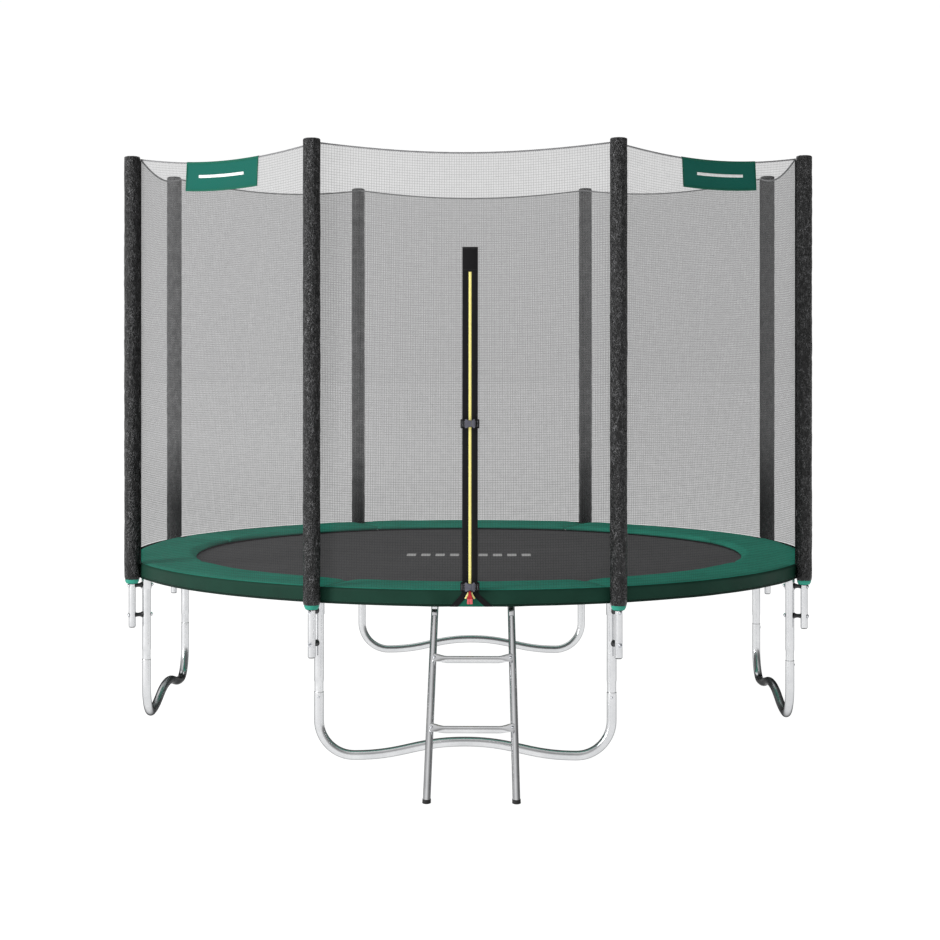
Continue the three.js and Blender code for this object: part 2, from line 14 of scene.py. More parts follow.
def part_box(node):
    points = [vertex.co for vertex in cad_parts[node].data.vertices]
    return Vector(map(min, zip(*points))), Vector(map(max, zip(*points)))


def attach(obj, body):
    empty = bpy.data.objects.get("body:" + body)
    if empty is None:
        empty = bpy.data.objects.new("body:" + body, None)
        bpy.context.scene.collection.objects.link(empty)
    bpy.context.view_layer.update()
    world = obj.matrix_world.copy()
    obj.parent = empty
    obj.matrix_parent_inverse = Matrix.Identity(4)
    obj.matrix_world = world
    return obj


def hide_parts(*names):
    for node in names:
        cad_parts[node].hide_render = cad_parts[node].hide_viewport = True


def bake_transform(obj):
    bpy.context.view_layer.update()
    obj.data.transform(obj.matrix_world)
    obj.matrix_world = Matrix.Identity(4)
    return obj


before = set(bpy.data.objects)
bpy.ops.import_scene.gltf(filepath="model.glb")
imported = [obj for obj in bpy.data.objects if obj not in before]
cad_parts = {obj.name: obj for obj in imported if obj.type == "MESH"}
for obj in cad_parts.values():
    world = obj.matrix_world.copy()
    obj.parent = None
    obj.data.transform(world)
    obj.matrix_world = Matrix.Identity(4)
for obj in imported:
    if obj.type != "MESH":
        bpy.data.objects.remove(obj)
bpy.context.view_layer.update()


# ---- Sizes and places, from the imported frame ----

def middle_of(node):
    low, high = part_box(node)
    return (low + high) / 2


STATION_COUNT = 8
STATIONS = range(1, STATION_COUNT + 1)
STATION_STEP = math.tau / STATION_COUNT
FIRST_STATION = -math.pi / 2 - STATION_STEP / 2

AXIS = middle_of("jumping_mat")
AXIS.z = 0
MAT_LOW, MAT_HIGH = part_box("jumping_mat")
MAT_RADIUS = (MAT_HIGH.x - MAT_LOW.x) / 2
MAT_TOP = MAT_HIGH.z
PAD_LOW, PAD_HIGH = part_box("safety_pad")
PAD_RADIUS = (PAD_HIGH.x - PAD_LOW.x) / 2
PAD_TOP = PAD_HIGH.z
SKIRT_BOTTOM = PAD_LOW.z
NET_LOW, NET_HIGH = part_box("enclosure_net")
NET_RADIUS = (NET_HIGH.x - NET_LOW.x) / 2
NET_BOTTOM = NET_LOW.z
SLEEVE_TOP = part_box("foam_sleeve_1")[1].z
POLE_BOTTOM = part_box("net_pole_1")[0].z
POLE_CIRCLE = (middle_of("foam_sleeve_1") - AXIS).to_2d().length
RAIL_RADIUS = (AXIS.y - middle_of("u_leg_front").y) / math.cos(STATION_STEP / 2)
TUBE_RADIUS = 0.019
RAIL_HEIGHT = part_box("top_rail_1")[1].z - TUBE_RADIUS * math.cos(math.pi / 12)
NET_TOP = 2.432
NET_SAG = 0.042
DOOR_X = middle_of("door_band").x


def station_angle(number):
    return FIRST_STATION + (number - 1) * STATION_STEP


def polar(radius, turn, height):
    return Vector((radius * math.cos(turn), radius * math.sin(turn), height))


def around(radius, angle, height):
    """A point at a distance and direction from the trampoline's axis."""
    return AXIS + polar(radius, angle, height)


def outward_at(angle):
    return polar(1, angle, 0)


def across_at(angle):
    """The level direction along the rim at an angle."""
    return Vector((-math.sin(angle), math.cos(angle), 0))


def radial_frame(radius, angle, height):
    """A place whose own X axis points away from the trampoline's axis."""
    return Matrix.Translation(around(radius, angle, height)) @ Matrix.Rotation(angle, 4, "Z")


def ease(share):
    share = min(1.0, max(0.0, share))
    return share * share * (3 - 2 * share)


def shares(count):
    """Evenly spaced numbers from 0 to 1."""
    return [step / count for step in range(count + 1)]


# ---- Mesh building ----

def circle(sides):
    return [math.tau * side / sides for side in range(sides)]


def tangent_at(path, index):
    """The direction of a path at one of its points."""
    return (path[min(index + 1, len(path) - 1)] - path[max(index - 1, 0)]).normalized()


class Shape:
    """Points and faces gathered from several runs of geometry, with a map in metres."""

    def __init__(self):
        self.points, self.faces, self.maps = [], [], []

    def grid(self, rows, ring=False, loop=False, caps=False, size=(1, 1)):
        """Joins rows of points by four-sided faces. ring closes each row, loop the whole run."""
        first, width = len(self.points), len(rows[0])
        for row in rows:
            self.points.extend(row)
        along = len(rows) if loop else len(rows) - 1
        across = width if ring else width - 1
        for row in range(along):
            for place in range(across):
                corners = [(row, place), (row, place + 1), (row + 1, place + 1), (row + 1, place)]
                self.faces.append(
                    [first + (i % len(rows)) * width + j % width for i, j in corners]
                )
                self.maps.append([(j / across * size[0], i / along * size[1]) for i, j in corners])
        if caps:
            for row in (0, len(rows) - 1):
                self.faces.append([first + row * width + place for place in range(width)])
                self.maps.append([(0, 0)] * width)
        return self

    def tube(self, path, radius, sides=16):
        """A tube along points. radius is a number, or a function of the share along it."""
        count = len(path)
        side = None
        rows = []
        for index, point in enumerate(path):
            tangent = tangent_at(path, index)
            side = side or tangent.orthogonal()
            side = (side - tangent * side.dot(tangent)).normalized()
            other = tangent.cross(side)
            size = radius(index / (count - 1)) if callable(radius) else radius
            rows.append([
                point + side * size * math.cos(turn) + other * size * math.sin(turn)
                for turn in circle(sides)
            ])
        return self.grid(rows, ring=True, caps=True)

    def lathe(self, profile, place, sides=32, caps=True):
        """A profile of (radius, height) turned about its place's own Z axis."""
        rows = [[place @ polar(r, t, h) for t in circle(sides)] for r, h in profile]
        return self.grid(rows, ring=True, caps=caps)

    def ribbon(self, path, across, width, thickness):
        """A flat band with round edges along points. across is the direction of its width."""
        rows = []
        for index, point in enumerate(path):
            tangent = tangent_at(path, index)
            side = (across - tangent * across.dot(tangent)).normalized()
            face = tangent.cross(side)
            wide = width(index / (len(path) - 1)) if callable(width) else width
            rows.append([
                point + side * x + face * y
                for x, y in round_outline(wide, thickness, thickness / 2, steps=2)
            ])
        return self.grid(rows, ring=True, caps=True)

    def block(self, width, depth, height, place, edge):
        """A box with round edges that stands on its place's own XY plane."""
        turns = [math.pi / 2 * share for share in shares(3)]
        rounding = [(edge * (1 - math.sin(t)), edge * (1 - math.cos(t))) for t in turns]
        levels = rounding + [(inset, height - rise) for inset, rise in reversed(rounding)]
        rows = [
            [
                place @ Vector((x, y, rise))
                for x, y in round_outline(width - 2 * inset, depth - 2 * inset, 1.5 * edge)
            ]
            for inset, rise in levels
        ]
        return self.grid(rows, ring=True, caps=True)

    def plate(self, corners, thickness, place):
        """A flat plate with this outline, from its place's own XY plane upwards."""
        rows = [[place @ Vector((x, y, z)) for x, y in corners] for z in (0, thickness)]
        return self.grid(rows, ring=True, caps=True)


def round_outline(width, depth, corner, steps=4):
    """The points of a rectangle with round corners."""
    corner = min(corner, width / 2 - 1e-5, depth / 2 - 1e-5)
    points = []
    for quarter, (sx, sy) in enumerate(((1, 1), (-1, 1), (-1, -1), (1, -1))):
        for share in shares(steps):
            turn = math.pi / 2 * (quarter + share)
            points.append((
                (width / 2 - corner) * sx + corner * math.cos(turn),
                (depth / 2 - corner) * sy + corner * math.sin(turn),
            ))
    return points


def stitches(shape, path, length=0.004, gap=0.003, radius=0.0006):
    """Short threads laid end to end along a path."""
    spots = [0.0]
    for start, end in zip(path, path[1:]):
        spots.append(spots[-1] + (end - start).length)
    begin = gap
    while begin + length < spots[-1]:
        ends = [np.interp(begin + at, spots, range(len(spots))) for at in (0, length / 2, length)]
        thread = [path[int(at)].lerp(path[min(int(at) + 1, len(path) - 1)], at % 1) for at in ends]
        shape.tube(thread, lambda share: radius * (0.45 + 0.55 * math.sin(math.pi * share)), 5)
        begin += length + gap
    return shape


def line(start, end, count):
    return [start.lerp(end, share) for share in shares(count)]


def make(name, shape, look, body, replaces=(), bevel=0, sharp=40):
    """Turns a shape into a piece that rides on a body and may stand for CAD nodes."""
    mesh = bpy.data.meshes.new(name)
    mesh.from_pydata(shape.points, [], shape.faces)
    layer = mesh.uv_layers.new(name="surface")
    layer.data.foreach_set("uv", [value for face in shape.maps for at in face for value in at])
    work = bmesh.new()
    work.from_mesh(mesh)
    bmesh.ops.recalc_face_normals(work, faces=work.faces)
    work.to_mesh(mesh)
    work.free()
    mesh.polygons.foreach_set("use_smooth", [True] * len(mesh.polygons))
    mesh.set_sharp_from_angle(angle=math.radians(sharp))
    mesh.materials.append(look)
    piece = bpy.data.objects.new(name, mesh)
    bpy.context.scene.collection.objects.link(piece)
    if bevel:
        rounding = piece.modifiers.new("edges", "BEVEL")
        rounding.width = bevel
        rounding.segments = 3
        rounding.limit_method = "ANGLE"
    if body:
        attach(piece, body)
    if replaces:
        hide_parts(*replaces)
    return piece


# ---- Materials ----

MOST_NOISE = (0.3, 0.7)

def add_node(tree, kind, inputs, **settings):
    """A shader node with its settings, and with its inputs linked or set."""
    node = tree.nodes.new("ShaderNode" + kind)
    for key, value in settings.items():
        setattr(node, key, value)
    for key, value in inputs.items():
        if isinstance(value, bpy.types.NodeSocket):
            tree.links.new(value, node.inputs[key])
        else:
            node.inputs[key].default_value = value
    return node


class Look:
    """One procedural material. Its patterns use the surface's own coordinates in metres."""

    def __init__(self, name, values):
        self.material = bpy.data.materials.new(name)
        self.material.use_nodes = True
        self.tree = self.material.node_tree
        self.skin = next(n for n in self.tree.nodes if n.type == "BSDF_PRINCIPLED")
        for socket, value in values.items():
            self.skin.inputs[socket].default_value = value

    def node(self, kind, inputs, **settings):
        return add_node(self.tree, kind, inputs, **settings)

    def coordinates(self, stretch=(1, 1, 1), mapped=False):
        """Places on the surface: its object coordinates, or its own flat map."""
        if mapped:
            source = self.node("UVMap", {}, uv_map="surface").outputs[0]
        else:
            source = self.node("TexCoord", {}).outputs["Object"]
        return self.node("Mapping", {"Vector": source, "Scale": stretch}).outputs[0]

    def noise(self, scale, detail=3.0, stretch=(1, 1, 1), mapped=False):
        where = self.coordinates(stretch, mapped)
        inputs = {"Vector": where, "Scale": scale, "Detail": detail}
        return self.node("TexNoise", inputs).outputs[0]

    def cells(self, scale):
        inputs = {"Vector": self.coordinates(), "Scale": scale}
        return self.node("TexVoronoi", inputs).outputs["Color"]

    def bands(self, pitch, direction, mapped=True):
        """Even bands, one every pitch metres, from 0 to 1 and back."""
        inputs = {"Vector": self.coordinates(mapped=mapped), "Scale": math.pi / (10 * pitch)}
        return self.node("TexWave", inputs, bands_direction=direction).outputs[1]

    def span(self, value, low, high, start=0.0, end=1.0):
        inputs = {"Value": value, "From Min": start, "From Max": end}
        inputs.update({"To Min": low, "To Max": high})
        return self.node("MapRange", inputs).outputs[0]

    def calculate(self, operation, first, second=0.0):
        return self.node("Math", {0: first, 1: second}, operation=operation).outputs[0]

    def mix(self, share, first, second):
        inputs = {0: share, 6: colour(first), 7: colour(second)}
        return self.node("Mix", inputs, data_type="RGBA").outputs[2]

    def bump(self, height, distance, strength=1.0, below=None):
        inputs = {"Height": height, "Distance": distance, "Strength": strength}
        if below is not None:
            inputs["Normal"] = below
        return self.node("Bump", inputs).outputs[0]

    def wear(self, **sockets):
        """Links worked-out values to the shader."""
        for socket, value in sockets.items():
            self.tree.links.new(value, self.skin.inputs[socket.replace("_", " ")])
        return self.material


def colour(value):
    return value if isinstance(value, bpy.types.NodeSocket) else (*value, 1.0)


def zinc_look(name="zinc", light=(0.73, 0.735, 0.745), dark=(0.62, 0.626, 0.64), rough=(0.17, 0.24)):
    """Rolled galvanised tube: drawn lengthwise, with a faint spangle, a slow dull cloud, and a near-black
    edge tint that is painted shade.
    """
    # The near-black Specular Tint darkens the edges of the tubes: painted shade standing in for dark
    # surroundings reflected there.
    look = Look(name, {"Metallic": 1.0, "Specular Tint": (0.02, 0.02, 0.02, 1)})
    cloud = look.noise(9, 3)
    spangle = look.node("SeparateColor", {0: look.cells(110)}).outputs[0]
    grain = look.calculate("ADD", look.calculate("MULTIPLY", spangle, 0.12), cloud)
    tone = look.mix(look.span(grain, 0.0, 1.0, 0.35, 0.75), dark, light)
    drawn = look.noise(60, 2, (1, 1, 0.08))
    return look.wear(
        Base_Color=tone,
        Roughness=look.span(grain, rough[0], rough[1], 0.35, 0.75),
        Normal=look.bump(drawn, 0.0004, 0.04),
    )


def cover_look():
    """The crinkled coated sheet round the foam of the poles, with painted highlights along its crease
    ridges.
    """
    look = Look("pole_cover", {"Specular IOR Level": 0.36})
    crease = look.noise(75, 5, (1, 1, 0.45))
    ridges = look.calculate("ABSOLUTE", look.span(look.noise(120, 3, (1, 1, 0.6)), -1, 1))
    tone = look.mix(look.span(crease, 0, 1, 0.35, 0.7), (0.001, 0.001, 0.0012), (0.006, 0.006, 0.0065))
    # Lighter colour (0.16) laid along the ridges of the crinkles: painted highlights on the creases.
    painted_crease_highlights = look.calculate("MULTIPLY", look.span(ridges, 1, 0, 0, 0.07), look.span(crease, 0, 1, 0.4, 0.65))
    tone = look.mix(painted_crease_highlights, tone, (0.16, 0.16, 0.165))
    rough = look.span(crease, 0.34, 0.14, *MOST_NOISE)
    normal = look.bump(ridges, 0.006, 0.9, look.bump(crease, 0.006, 0.55))
    return look.wear(Base_Color=tone, Roughness=rough, Normal=normal)


def vinyl_look(name, light, dark, rough=(0.38, 0.55), gloss=0.10):
    """Coated cloth with a faint weave under the coat."""
    look = Look(name, {"Specular IOR Level": gloss})
    cloud = look.noise(6, 5)
    weave = look.calculate("MULTIPLY", look.bands(0.0016, "X"), look.bands(0.0016, "Y"))
    tone = look.mix(look.span(cloud, 0, 1, *MOST_NOISE), dark, light)
    normal = look.bump(weave, 0.0003, 0.35, look.bump(look.noise(30, 4), 0.002, 0.25))
    return look.wear(
        Base_Color=tone,
        Roughness=look.span(cloud, rough[0], rough[1], *MOST_NOISE),
        Normal=normal,
    )


def woven_look(name, light, dark, pitch, rough=0.62, gloss=0.15):
    """Yarns that cross over and under each other."""
    look = Look(name, {"Specular IOR Level": gloss})
    warp, weft = look.bands(pitch, "X"), look.bands(pitch, "Y")
    weave = look.calculate("MAXIMUM", look.calculate("MULTIPLY", warp, weft), 0.2)
    cloud = look.noise(5, 5)
    shade = look.calculate("MULTIPLY", look.span(cloud, 0.75, 1.0, *MOST_NOISE), weave)
    tone = look.mix(look.span(shade, 0, 1, 0.1, 0.85), dark, light)
    return look.wear(
        Base_Color=tone,
        Roughness=look.span(cloud, rough - 0.08, rough + 0.08, *MOST_NOISE),
        Normal=look.bump(weave, 0.0006, 0.6),
    )


def net_look():
    """Knitted mesh: a fine knit with open cells between thicker yarns, uneven as a knit is,
    and more open over the lowest part than higher up; its lowest part is painted darker, a painted shade."""
    look = Look("net_mesh", {"Roughness": 0.8, "Specular IOR Level": 0.1})
    wobble = look.noise(28, 3, mapped=True)
    knit = look.calculate("MAXIMUM", look.bands(0.0026, "X"), look.bands(0.0026, "Y"))
    yarns = look.calculate("MAXIMUM", look.bands(0.0104, "X"), look.bands(0.0104, "Y"))
    cover = look.calculate(
        "ADD", look.span(knit, 0.29, 0.48, 0.86, 0.98), look.span(yarns, 0.0, 0.32, 0.92, 0.99)
    )
    height = look.node("SeparateXYZ", {0: look.coordinates()}).outputs[2]
    above_painted_shade = look.span(height, 0, 1, 0.95, 1.25)
    uneven = look.calculate("MULTIPLY", cover, look.span(wobble, 0.94, 1.08, *MOST_NOISE))
    open_foot = look.calculate("MULTIPLY", uneven, look.span(above_painted_shade, 0.88, 1.0))
    yarn = look.mix(look.span(wobble, 0, 1, *MOST_NOISE), (0.130, 0.130, 0.132), (0.185, 0.185, 0.187))
    # Below 0.95 m the yarn colour falls to 0.035, blending back to the yarn's colour by 1.25 m: painted
    # shade on the net's foot.
    return look.wear(Base_Color=look.mix(above_painted_shade, (0.035, 0.035, 0.036), yarn), Alpha=open_foot)


def webbing_look(name, light, dark):
    """Ribbed strap or cord with a little fluff."""
    look = Look(name, {"Specular IOR Level": 0.15, "Sheen Weight": 0.04})
    ribs = look.node(
        "TexWave", {"Vector": look.coordinates(), "Scale": 210.0}, bands_direction="Z"
    ).outputs[1]
    fluff = look.noise(260, 3)
    tone = look.mix(look.span(look.calculate("MULTIPLY", ribs, fluff), 0, 1, 0.1, 0.6), dark, light)
    return look.wear(
        Base_Color=tone,
        Roughness=look.span(fluff, 0.6, 0.85, *MOST_NOISE),
        Normal=look.bump(ribs, 0.0004, 0.5),
    )


def plain_look(name, light, dark, rough, scale, depth=0.0004):
    """Moulded or printed material with a fine grain and uneven tone."""
    look = Look(name, {})
    grain = look.noise(scale * 8, 3)
    cloud = look.noise(scale, 4)
    tone = look.mix(look.span(cloud, 0, 1, *MOST_NOISE), dark, light)
    return look.wear(
        Base_Color=tone,
        Roughness=look.span(cloud, rough - 0.07, rough + 0.07, *MOST_NOISE),
        Normal=look.bump(grain, depth, 0.4),
    )


ZINC = zinc_look()
SPRING_STEEL = zinc_look("spring_wire", (0.80, 0.81, 0.83), (0.56, 0.57, 0.60), (0.20, 0.30))
COVER = cover_look()
PAD_GREEN = vinyl_look("pad_green", (0.045, 0.41, 0.285), (0.034, 0.34, 0.235), (0.55, 0.68), 0.0)
FLAP_GREEN = vinyl_look("flap_green", (0.008, 0.13, 0.08), (0.005, 0.10, 0.06))
SKIRT_GREEN = vinyl_look("skirt_green", (0.010, 0.046, 0.030), (0.006, 0.032, 0.020), (0.5, 0.65))
HEM_GREEN = vinyl_look("hem_green", (0.005, 0.022, 0.014), (0.003, 0.014, 0.009), (0.5, 0.65))
TEAL = vinyl_look("sleeve_hem_teal", (0.045, 0.34, 0.25), (0.030, 0.25, 0.18))
MAT_CLOTH = woven_look("mat_cloth", (0.25, 0.25, 0.252), (0.115, 0.115, 0.117), 0.0042, gloss=0.0)
MAT_PRINT = plain_look("mat_print", (0.86, 0.86, 0.85), (0.70, 0.70, 0.69), 0.6, 90)
NET = net_look()
ROPE = webbing_look("rope", (0.42, 0.42, 0.43), (0.20, 0.20, 0.205))
WEBBING = webbing_look("webbing", (0.013, 0.013, 0.014), (0.003, 0.003, 0.0035))
THREAD = plain_look("thread", (0.09, 0.09, 0.095), (0.04, 0.04, 0.042), 0.6, 200)
PALE_THREAD = plain_look("pale_thread", (0.42, 0.42, 0.45), (0.26, 0.26, 0.29), 0.5, 200)
GREEN_THREAD = plain_look("green_thread", (0.012, 0.09, 0.05), (0.008, 0.06, 0.035), 0.6, 200)
ZIP_YELLOW = plain_look("zip_yellow", (1.0, 0.93, 0.36), (0.95, 0.84, 0.26), 0.4, 150)
ZIP_METAL = plain_look("zip_lacquer", (0.05, 0.05, 0.06), (0.025, 0.025, 0.03), 0.3, 120)
PULL_RED = webbing_look("pull_red", (0.66, 0.045, 0.052), (0.38, 0.018, 0.024))
# The pull's ends in a lighter pink copy of the red strap: a painted highlight.
PULL_HIGHLIGHT_PINK = webbing_look("pull_ends_painted_highlight", (0.86, 0.20, 0.21), (0.62, 0.10, 0.11))
PLASTIC = plain_look("buckle_plastic", (0.115, 0.115, 0.145), (0.07, 0.07, 0.092), 0.36, 45)
BLACK_PLASTIC = plain_look("black_plastic", (0.016, 0.016, 0.018), (0.007, 0.007, 0.008), 0.42, 45)
RUBBER = plain_look("rubber", (0.020, 0.020, 0.020), (0.009, 0.009, 0.009), 0.75, 70, 0.0008)
BANNER = woven_look("banner_cloth", (0.005, 0.140, 0.104), (0.003, 0.102, 0.076), 0.0012, 0.6)
HEM_TEAL = woven_look("banner_hem", (0.010, 0.150, 0.098), (0.005, 0.105, 0.066), 0.0012, 0.6)
BANNER_PRINT = plain_look("banner_print", (0.90, 0.91, 0.90), (0.76, 0.77, 0.76), 0.55, 90)


# ---- Camera, light and floor ----

CAMERA_SIDE = 0.1013
CAMERA_DISTANCE = 9.706
CAMERA_HEIGHT = 1.688
CAMERA_TURN = 0.0137
CAMERA_LENS = 80.67
CAMERA_SHIFT = (0.00853, -0.1465)
STUDIO_GREYS = [(0.0, 0.92), (0.46, 1.06), (0.57, 1.0), (0.74, 0.42), (0.88, 0.62), (1.0, 1.0)]
RIGHT_SIDE_LEFT_OVER = 0.22
BEHIND_LEFT_OVER = 0.30
BACKDROP_WHITE = 1.02
FLOOR_GLOW = 0.96
FLOOR_HALF = 60


def make_camera():
    data = bpy.data.cameras.new("camera")
    data.sensor_width = 36
    data.lens = CAMERA_LENS
    data.shift_x, data.shift_y = CAMERA_SHIFT
    camera = bpy.data.objects.new("camera", data)
    camera.location = AXIS + Vector((CAMERA_SIDE, -CAMERA_DISTANCE, CAMERA_HEIGHT))
    camera.rotation_euler = (math.pi / 2, 0, CAMERA_TURN)
    bpy.context.scene.collection.objects.link(camera)
    bpy.context.scene.camera = camera


def make_light(name, place, aim, size, power):
    data = bpy.data.lights.new(name, "AREA")
    data.shape = "RECTANGLE"
    data.size, data.size_y = size
    data.energy = power
    light = bpy.data.objects.new(name, data)
    light.location = AXIS + Vector(place)
    light.rotation_euler = (Vector(aim) - Vector(place)).to_track_quat("-Z", "Y").to_euler()
    bpy.context.scene.collection.objects.link(light)


def make_world():
    """A pale studio: bright at eye level and on the left, darker overhead, on the right and
    behind, which is what the steel and the pole covers show."""
    world = bpy.data.worlds.new("studio")
    world.use_nodes = True
    bpy.context.scene.world = world
    tree = world.node_tree
    tree.nodes.clear()

    def node(kind, inputs, **settings):
        return add_node(tree, kind, inputs, **settings)

    direction = node("TexCoord", {}).outputs["Generated"]
    parts = node("SeparateXYZ", {0: direction}).outputs
    height = node("MapRange", {"Value": parts["Z"], "From Min": -1.0, "From Max": 1.0}).outputs[0]
    ramp = node("ValToRGB", {0: height})
    elements = ramp.color_ramp.elements
    while len(elements) < len(STUDIO_GREYS):
        elements.new(0.5)
    for element, (place, grey) in zip(elements, STUDIO_GREYS):
        element.position = place
        element.color = (grey, grey, grey, 1)
    side = node("MapRange", {
        "Value": parts["X"], "From Min": -0.25, "From Max": 0.95,
        "To Min": 1.0, "To Max": RIGHT_SIDE_LEFT_OVER,
    }).outputs[0]
    behind = node("MapRange", {
        "Value": parts["Y"], "From Min": 0.45, "From Max": 0.90,
        "To Min": 1.0, "To Max": BEHIND_LEFT_OVER,
    }).outputs[0]
    both_ways = node("Math", {0: side, 1: behind}, operation="MULTIPLY").outputs[0]
    shade = node("Background", {"Color": ramp.outputs[0], "Strength": both_ways})
    white = node("Background", {"Color": (1, 1, 1, 1), "Strength": BACKDROP_WHITE})
    seen = node("LightPath", {}).outputs["Is Camera Ray"]
    both = node("MixShader", {0: seen, 1: shade.outputs[0], 2: white.outputs[0]})
    node("OutputWorld", {"Surface": both.outputs[0]})


def make_floor():
    values = {
        "Base Color": (0.15, 0.15, 0.15, 1),
        "Roughness": 0.9,
        "Emission Color": (1, 1, 1, 1),
        "Emission Strength": FLOOR_GLOW,
    }
    look = Look("floor", values)
    ends = (-FLOOR_HALF, FLOOR_HALF)
    shape = Shape().grid([[Vector((x, y, 0)) for x in ends] for y in ends])
    mesh = bpy.data.meshes.new("floor")
    mesh.from_pydata(shape.points, [], shape.faces)
    mesh.materials.append(look.material)
    floor = bpy.data.objects.new("floor", mesh)
    bpy.context.scene.collection.objects.link(floor)


make_camera()
make_world()
make_light("key", (-8.0, -6.0, 4.0), (0, 0, 1.2), (3, 5), 600)
make_light("back", (-2.0, 9.0, 6.0), (0, 0, 1.2), (9, 4), 160)
make_floor()
bpy.context.scene.view_settings.view_transform = "Standard"


# ---- Fasteners ----

def bolt_head(shape, place, radius=0.0068, height=0.0048):
    """A domed bolt head with a hexagon recess, on a wide washer."""
    washer = [(0.001, 0), (radius * 1.42, 0), (radius * 1.46, 0.0007), (radius * 1.40, 0.0015)]
    dome = [
        (radius * math.cos(math.pi / 2 * share), 0.0015 + height * math.sin(math.pi / 2 * share))
        for share in shares(6)[:-2]
    ]
    floor = height * 0.3
    recess = [(radius * 0.36, 0.0015 + height * 0.96), (radius * 0.33, floor), (0.0004, floor)]
    return shape.lathe(washer + dome + recess, place, 24)


def nut(shape, place, radius=0.0078, height=0.0065):
    """A washer, a hexagon nut and the end of its bolt."""
    shape.lathe([(0.001, 0), (radius * 1.3, 0), (radius * 1.3, 0.0014), (0.001, 0.0014)], place, 24)
    turned = [(radius * 0.93, 0.0014), (radius, 0.0022), (radius, height), (radius * 0.93, height + 0.0008)]
    shape.lathe(turned, place, 6)
    thread = [(0.0036 if ring % 2 else 0.0031, height + 0.0008 * ring) for ring in range(6)]
    return shape.lathe(thread, place, 16)


# ---- Steel frame ----

RAIL_JOINT_ANGLE = 0.07
SOCKET_RADIUS = 0.0215
SOCKET_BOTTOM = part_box("top_rail_1")[0].z
NECK_RADIUS = 0.0173
LEG_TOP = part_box("u_leg_front")[1].z
NECK_TAPER = (0.308, 0.316)
BEND_RADIUS = 0.139
CREST_HEIGHT = 0.073
QUARTER_CIRCLE_HANDLE = 0.5523
SPRING_COUNT = 64


def make_rail(number):
    """A rail with a narrowed end pushed into the next one, and a leg socket welded under it."""
    angle = station_angle(number)
    start, end = angle - RAIL_JOINT_ANGLE, angle + STATION_STEP - RAIL_JOINT_ANGLE
    path = [
        around(RAIL_RADIUS, start + (end - start) * share, RAIL_HEIGHT) for share in shares(96)
    ]

    def swaged(share):
        return TUBE_RADIUS * (0.93 + 0.07 * ease(share / 0.006) - 0.05 * ease((share - 0.985) / 0.01))

    shape = Shape().tube(path, swaged, 24)
    socket = radial_frame(RAIL_RADIUS, angle, 0)
    inner = SOCKET_RADIUS - 0.0018
    shape.lathe([
        (inner, SOCKET_BOTTOM + 0.02),
        (inner, SOCKET_BOTTOM),
        (SOCKET_RADIUS - 0.0004, SOCKET_BOTTOM),
        (SOCKET_RADIUS, SOCKET_BOTTOM + 0.0006),
        (SOCKET_RADIUS, RAIL_HEIGHT + 0.004),
        (SOCKET_RADIUS - 0.003, RAIL_HEIGHT + 0.006),
        (0.001, RAIL_HEIGHT + 0.006),
    ], socket, 32, caps=False)
    make(f"rail_tube_{number}", shape, ZINC, "base", [f"top_rail_{number}"])
    bead = [
        socket @ Vector((
            (SOCKET_RADIUS + 0.0006) * math.cos(turn),
            (SOCKET_RADIUS + 0.0006) * math.sin(turn),
            RAIL_HEIGHT - 0.012 * abs(math.sin(turn)) + 0.0005 * math.sin(17 * turn),
        ))
        for turn in [math.tau * share for share in shares(72)]
    ]
    weld = Shape().tube(bead, lambda share: 0.0022 + 0.0004 * math.sin(110 * share), 8)
    make(f"rail_weld_{number}", weld, ZINC, "base")


def make_upright(number):
    """An upright whose narrowed foot stands in the leg and whose top is in the rail's socket."""
    low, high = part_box(f"leg_upright_{number}")
    profile = [
        (NECK_RADIUS - 0.001, low.z), (NECK_RADIUS, low.z + 0.001), (NECK_RADIUS, NECK_TAPER[0]),
        (NECK_RADIUS + 0.0003, NECK_TAPER[0] + 0.001), (TUBE_RADIUS - 0.0003, NECK_TAPER[1] - 0.001),
        (TUBE_RADIUS, NECK_TAPER[1]), (TUBE_RADIUS, high.z - 0.001), (TUBE_RADIUS - 0.001, high.z),
    ]
    rows = []
    for (r, z), (next_r, next_z) in zip(profile, profile[1:]):
        steps = max(1, round((next_z - z) / 0.02))
        rows += [(r + (next_r - r) * s, z + (next_z - z) * s) for s in shares(steps)[:-1]]
    shape = Shape().lathe(
        rows + profile[-1:], radial_frame(RAIL_RADIUS, station_angle(number), 0), 32
    )
    name = f"leg_upright_{number}"
    make(f"upright_tube_{number}", shape, ZINC, "base", [name])


def bezier(points, count):
    a, b, c, d = points
    return [
        a * (1 - t) ** 3 + b * (3 * t * (1 - t) ** 2) + c * (3 * t * t * (1 - t)) + d * t ** 3
        for t in shares(count)
    ]


def leg_half():
    """One half of the leg's centre line, from its top to the crest, as (along, height)."""
    span = RAIL_RADIUS * math.sin(STATION_STEP / 2)
    floor_line = TUBE_RADIUS
    bend_top, low_place = floor_line + BEND_RADIUS, span - BEND_RADIUS
    roundness, pull = QUARTER_CIRCLE_HANDLE * BEND_RADIUS, 0.45 * low_place
    bend = bezier([
        Vector((span, bend_top)), Vector((span, bend_top - roundness)),
        Vector((low_place + roundness, floor_line)), Vector((low_place, floor_line)),
    ], 20)
    arch = bezier([
        Vector((low_place, floor_line)), Vector((low_place - pull, floor_line)),
        Vector((pull, CREST_HEIGHT)), Vector((0, CREST_HEIGHT)),
    ], 28)
    return line(Vector((span, LEG_TOP)), Vector((span, bend_top)), 8)[:-1] + bend[:-1] + arch


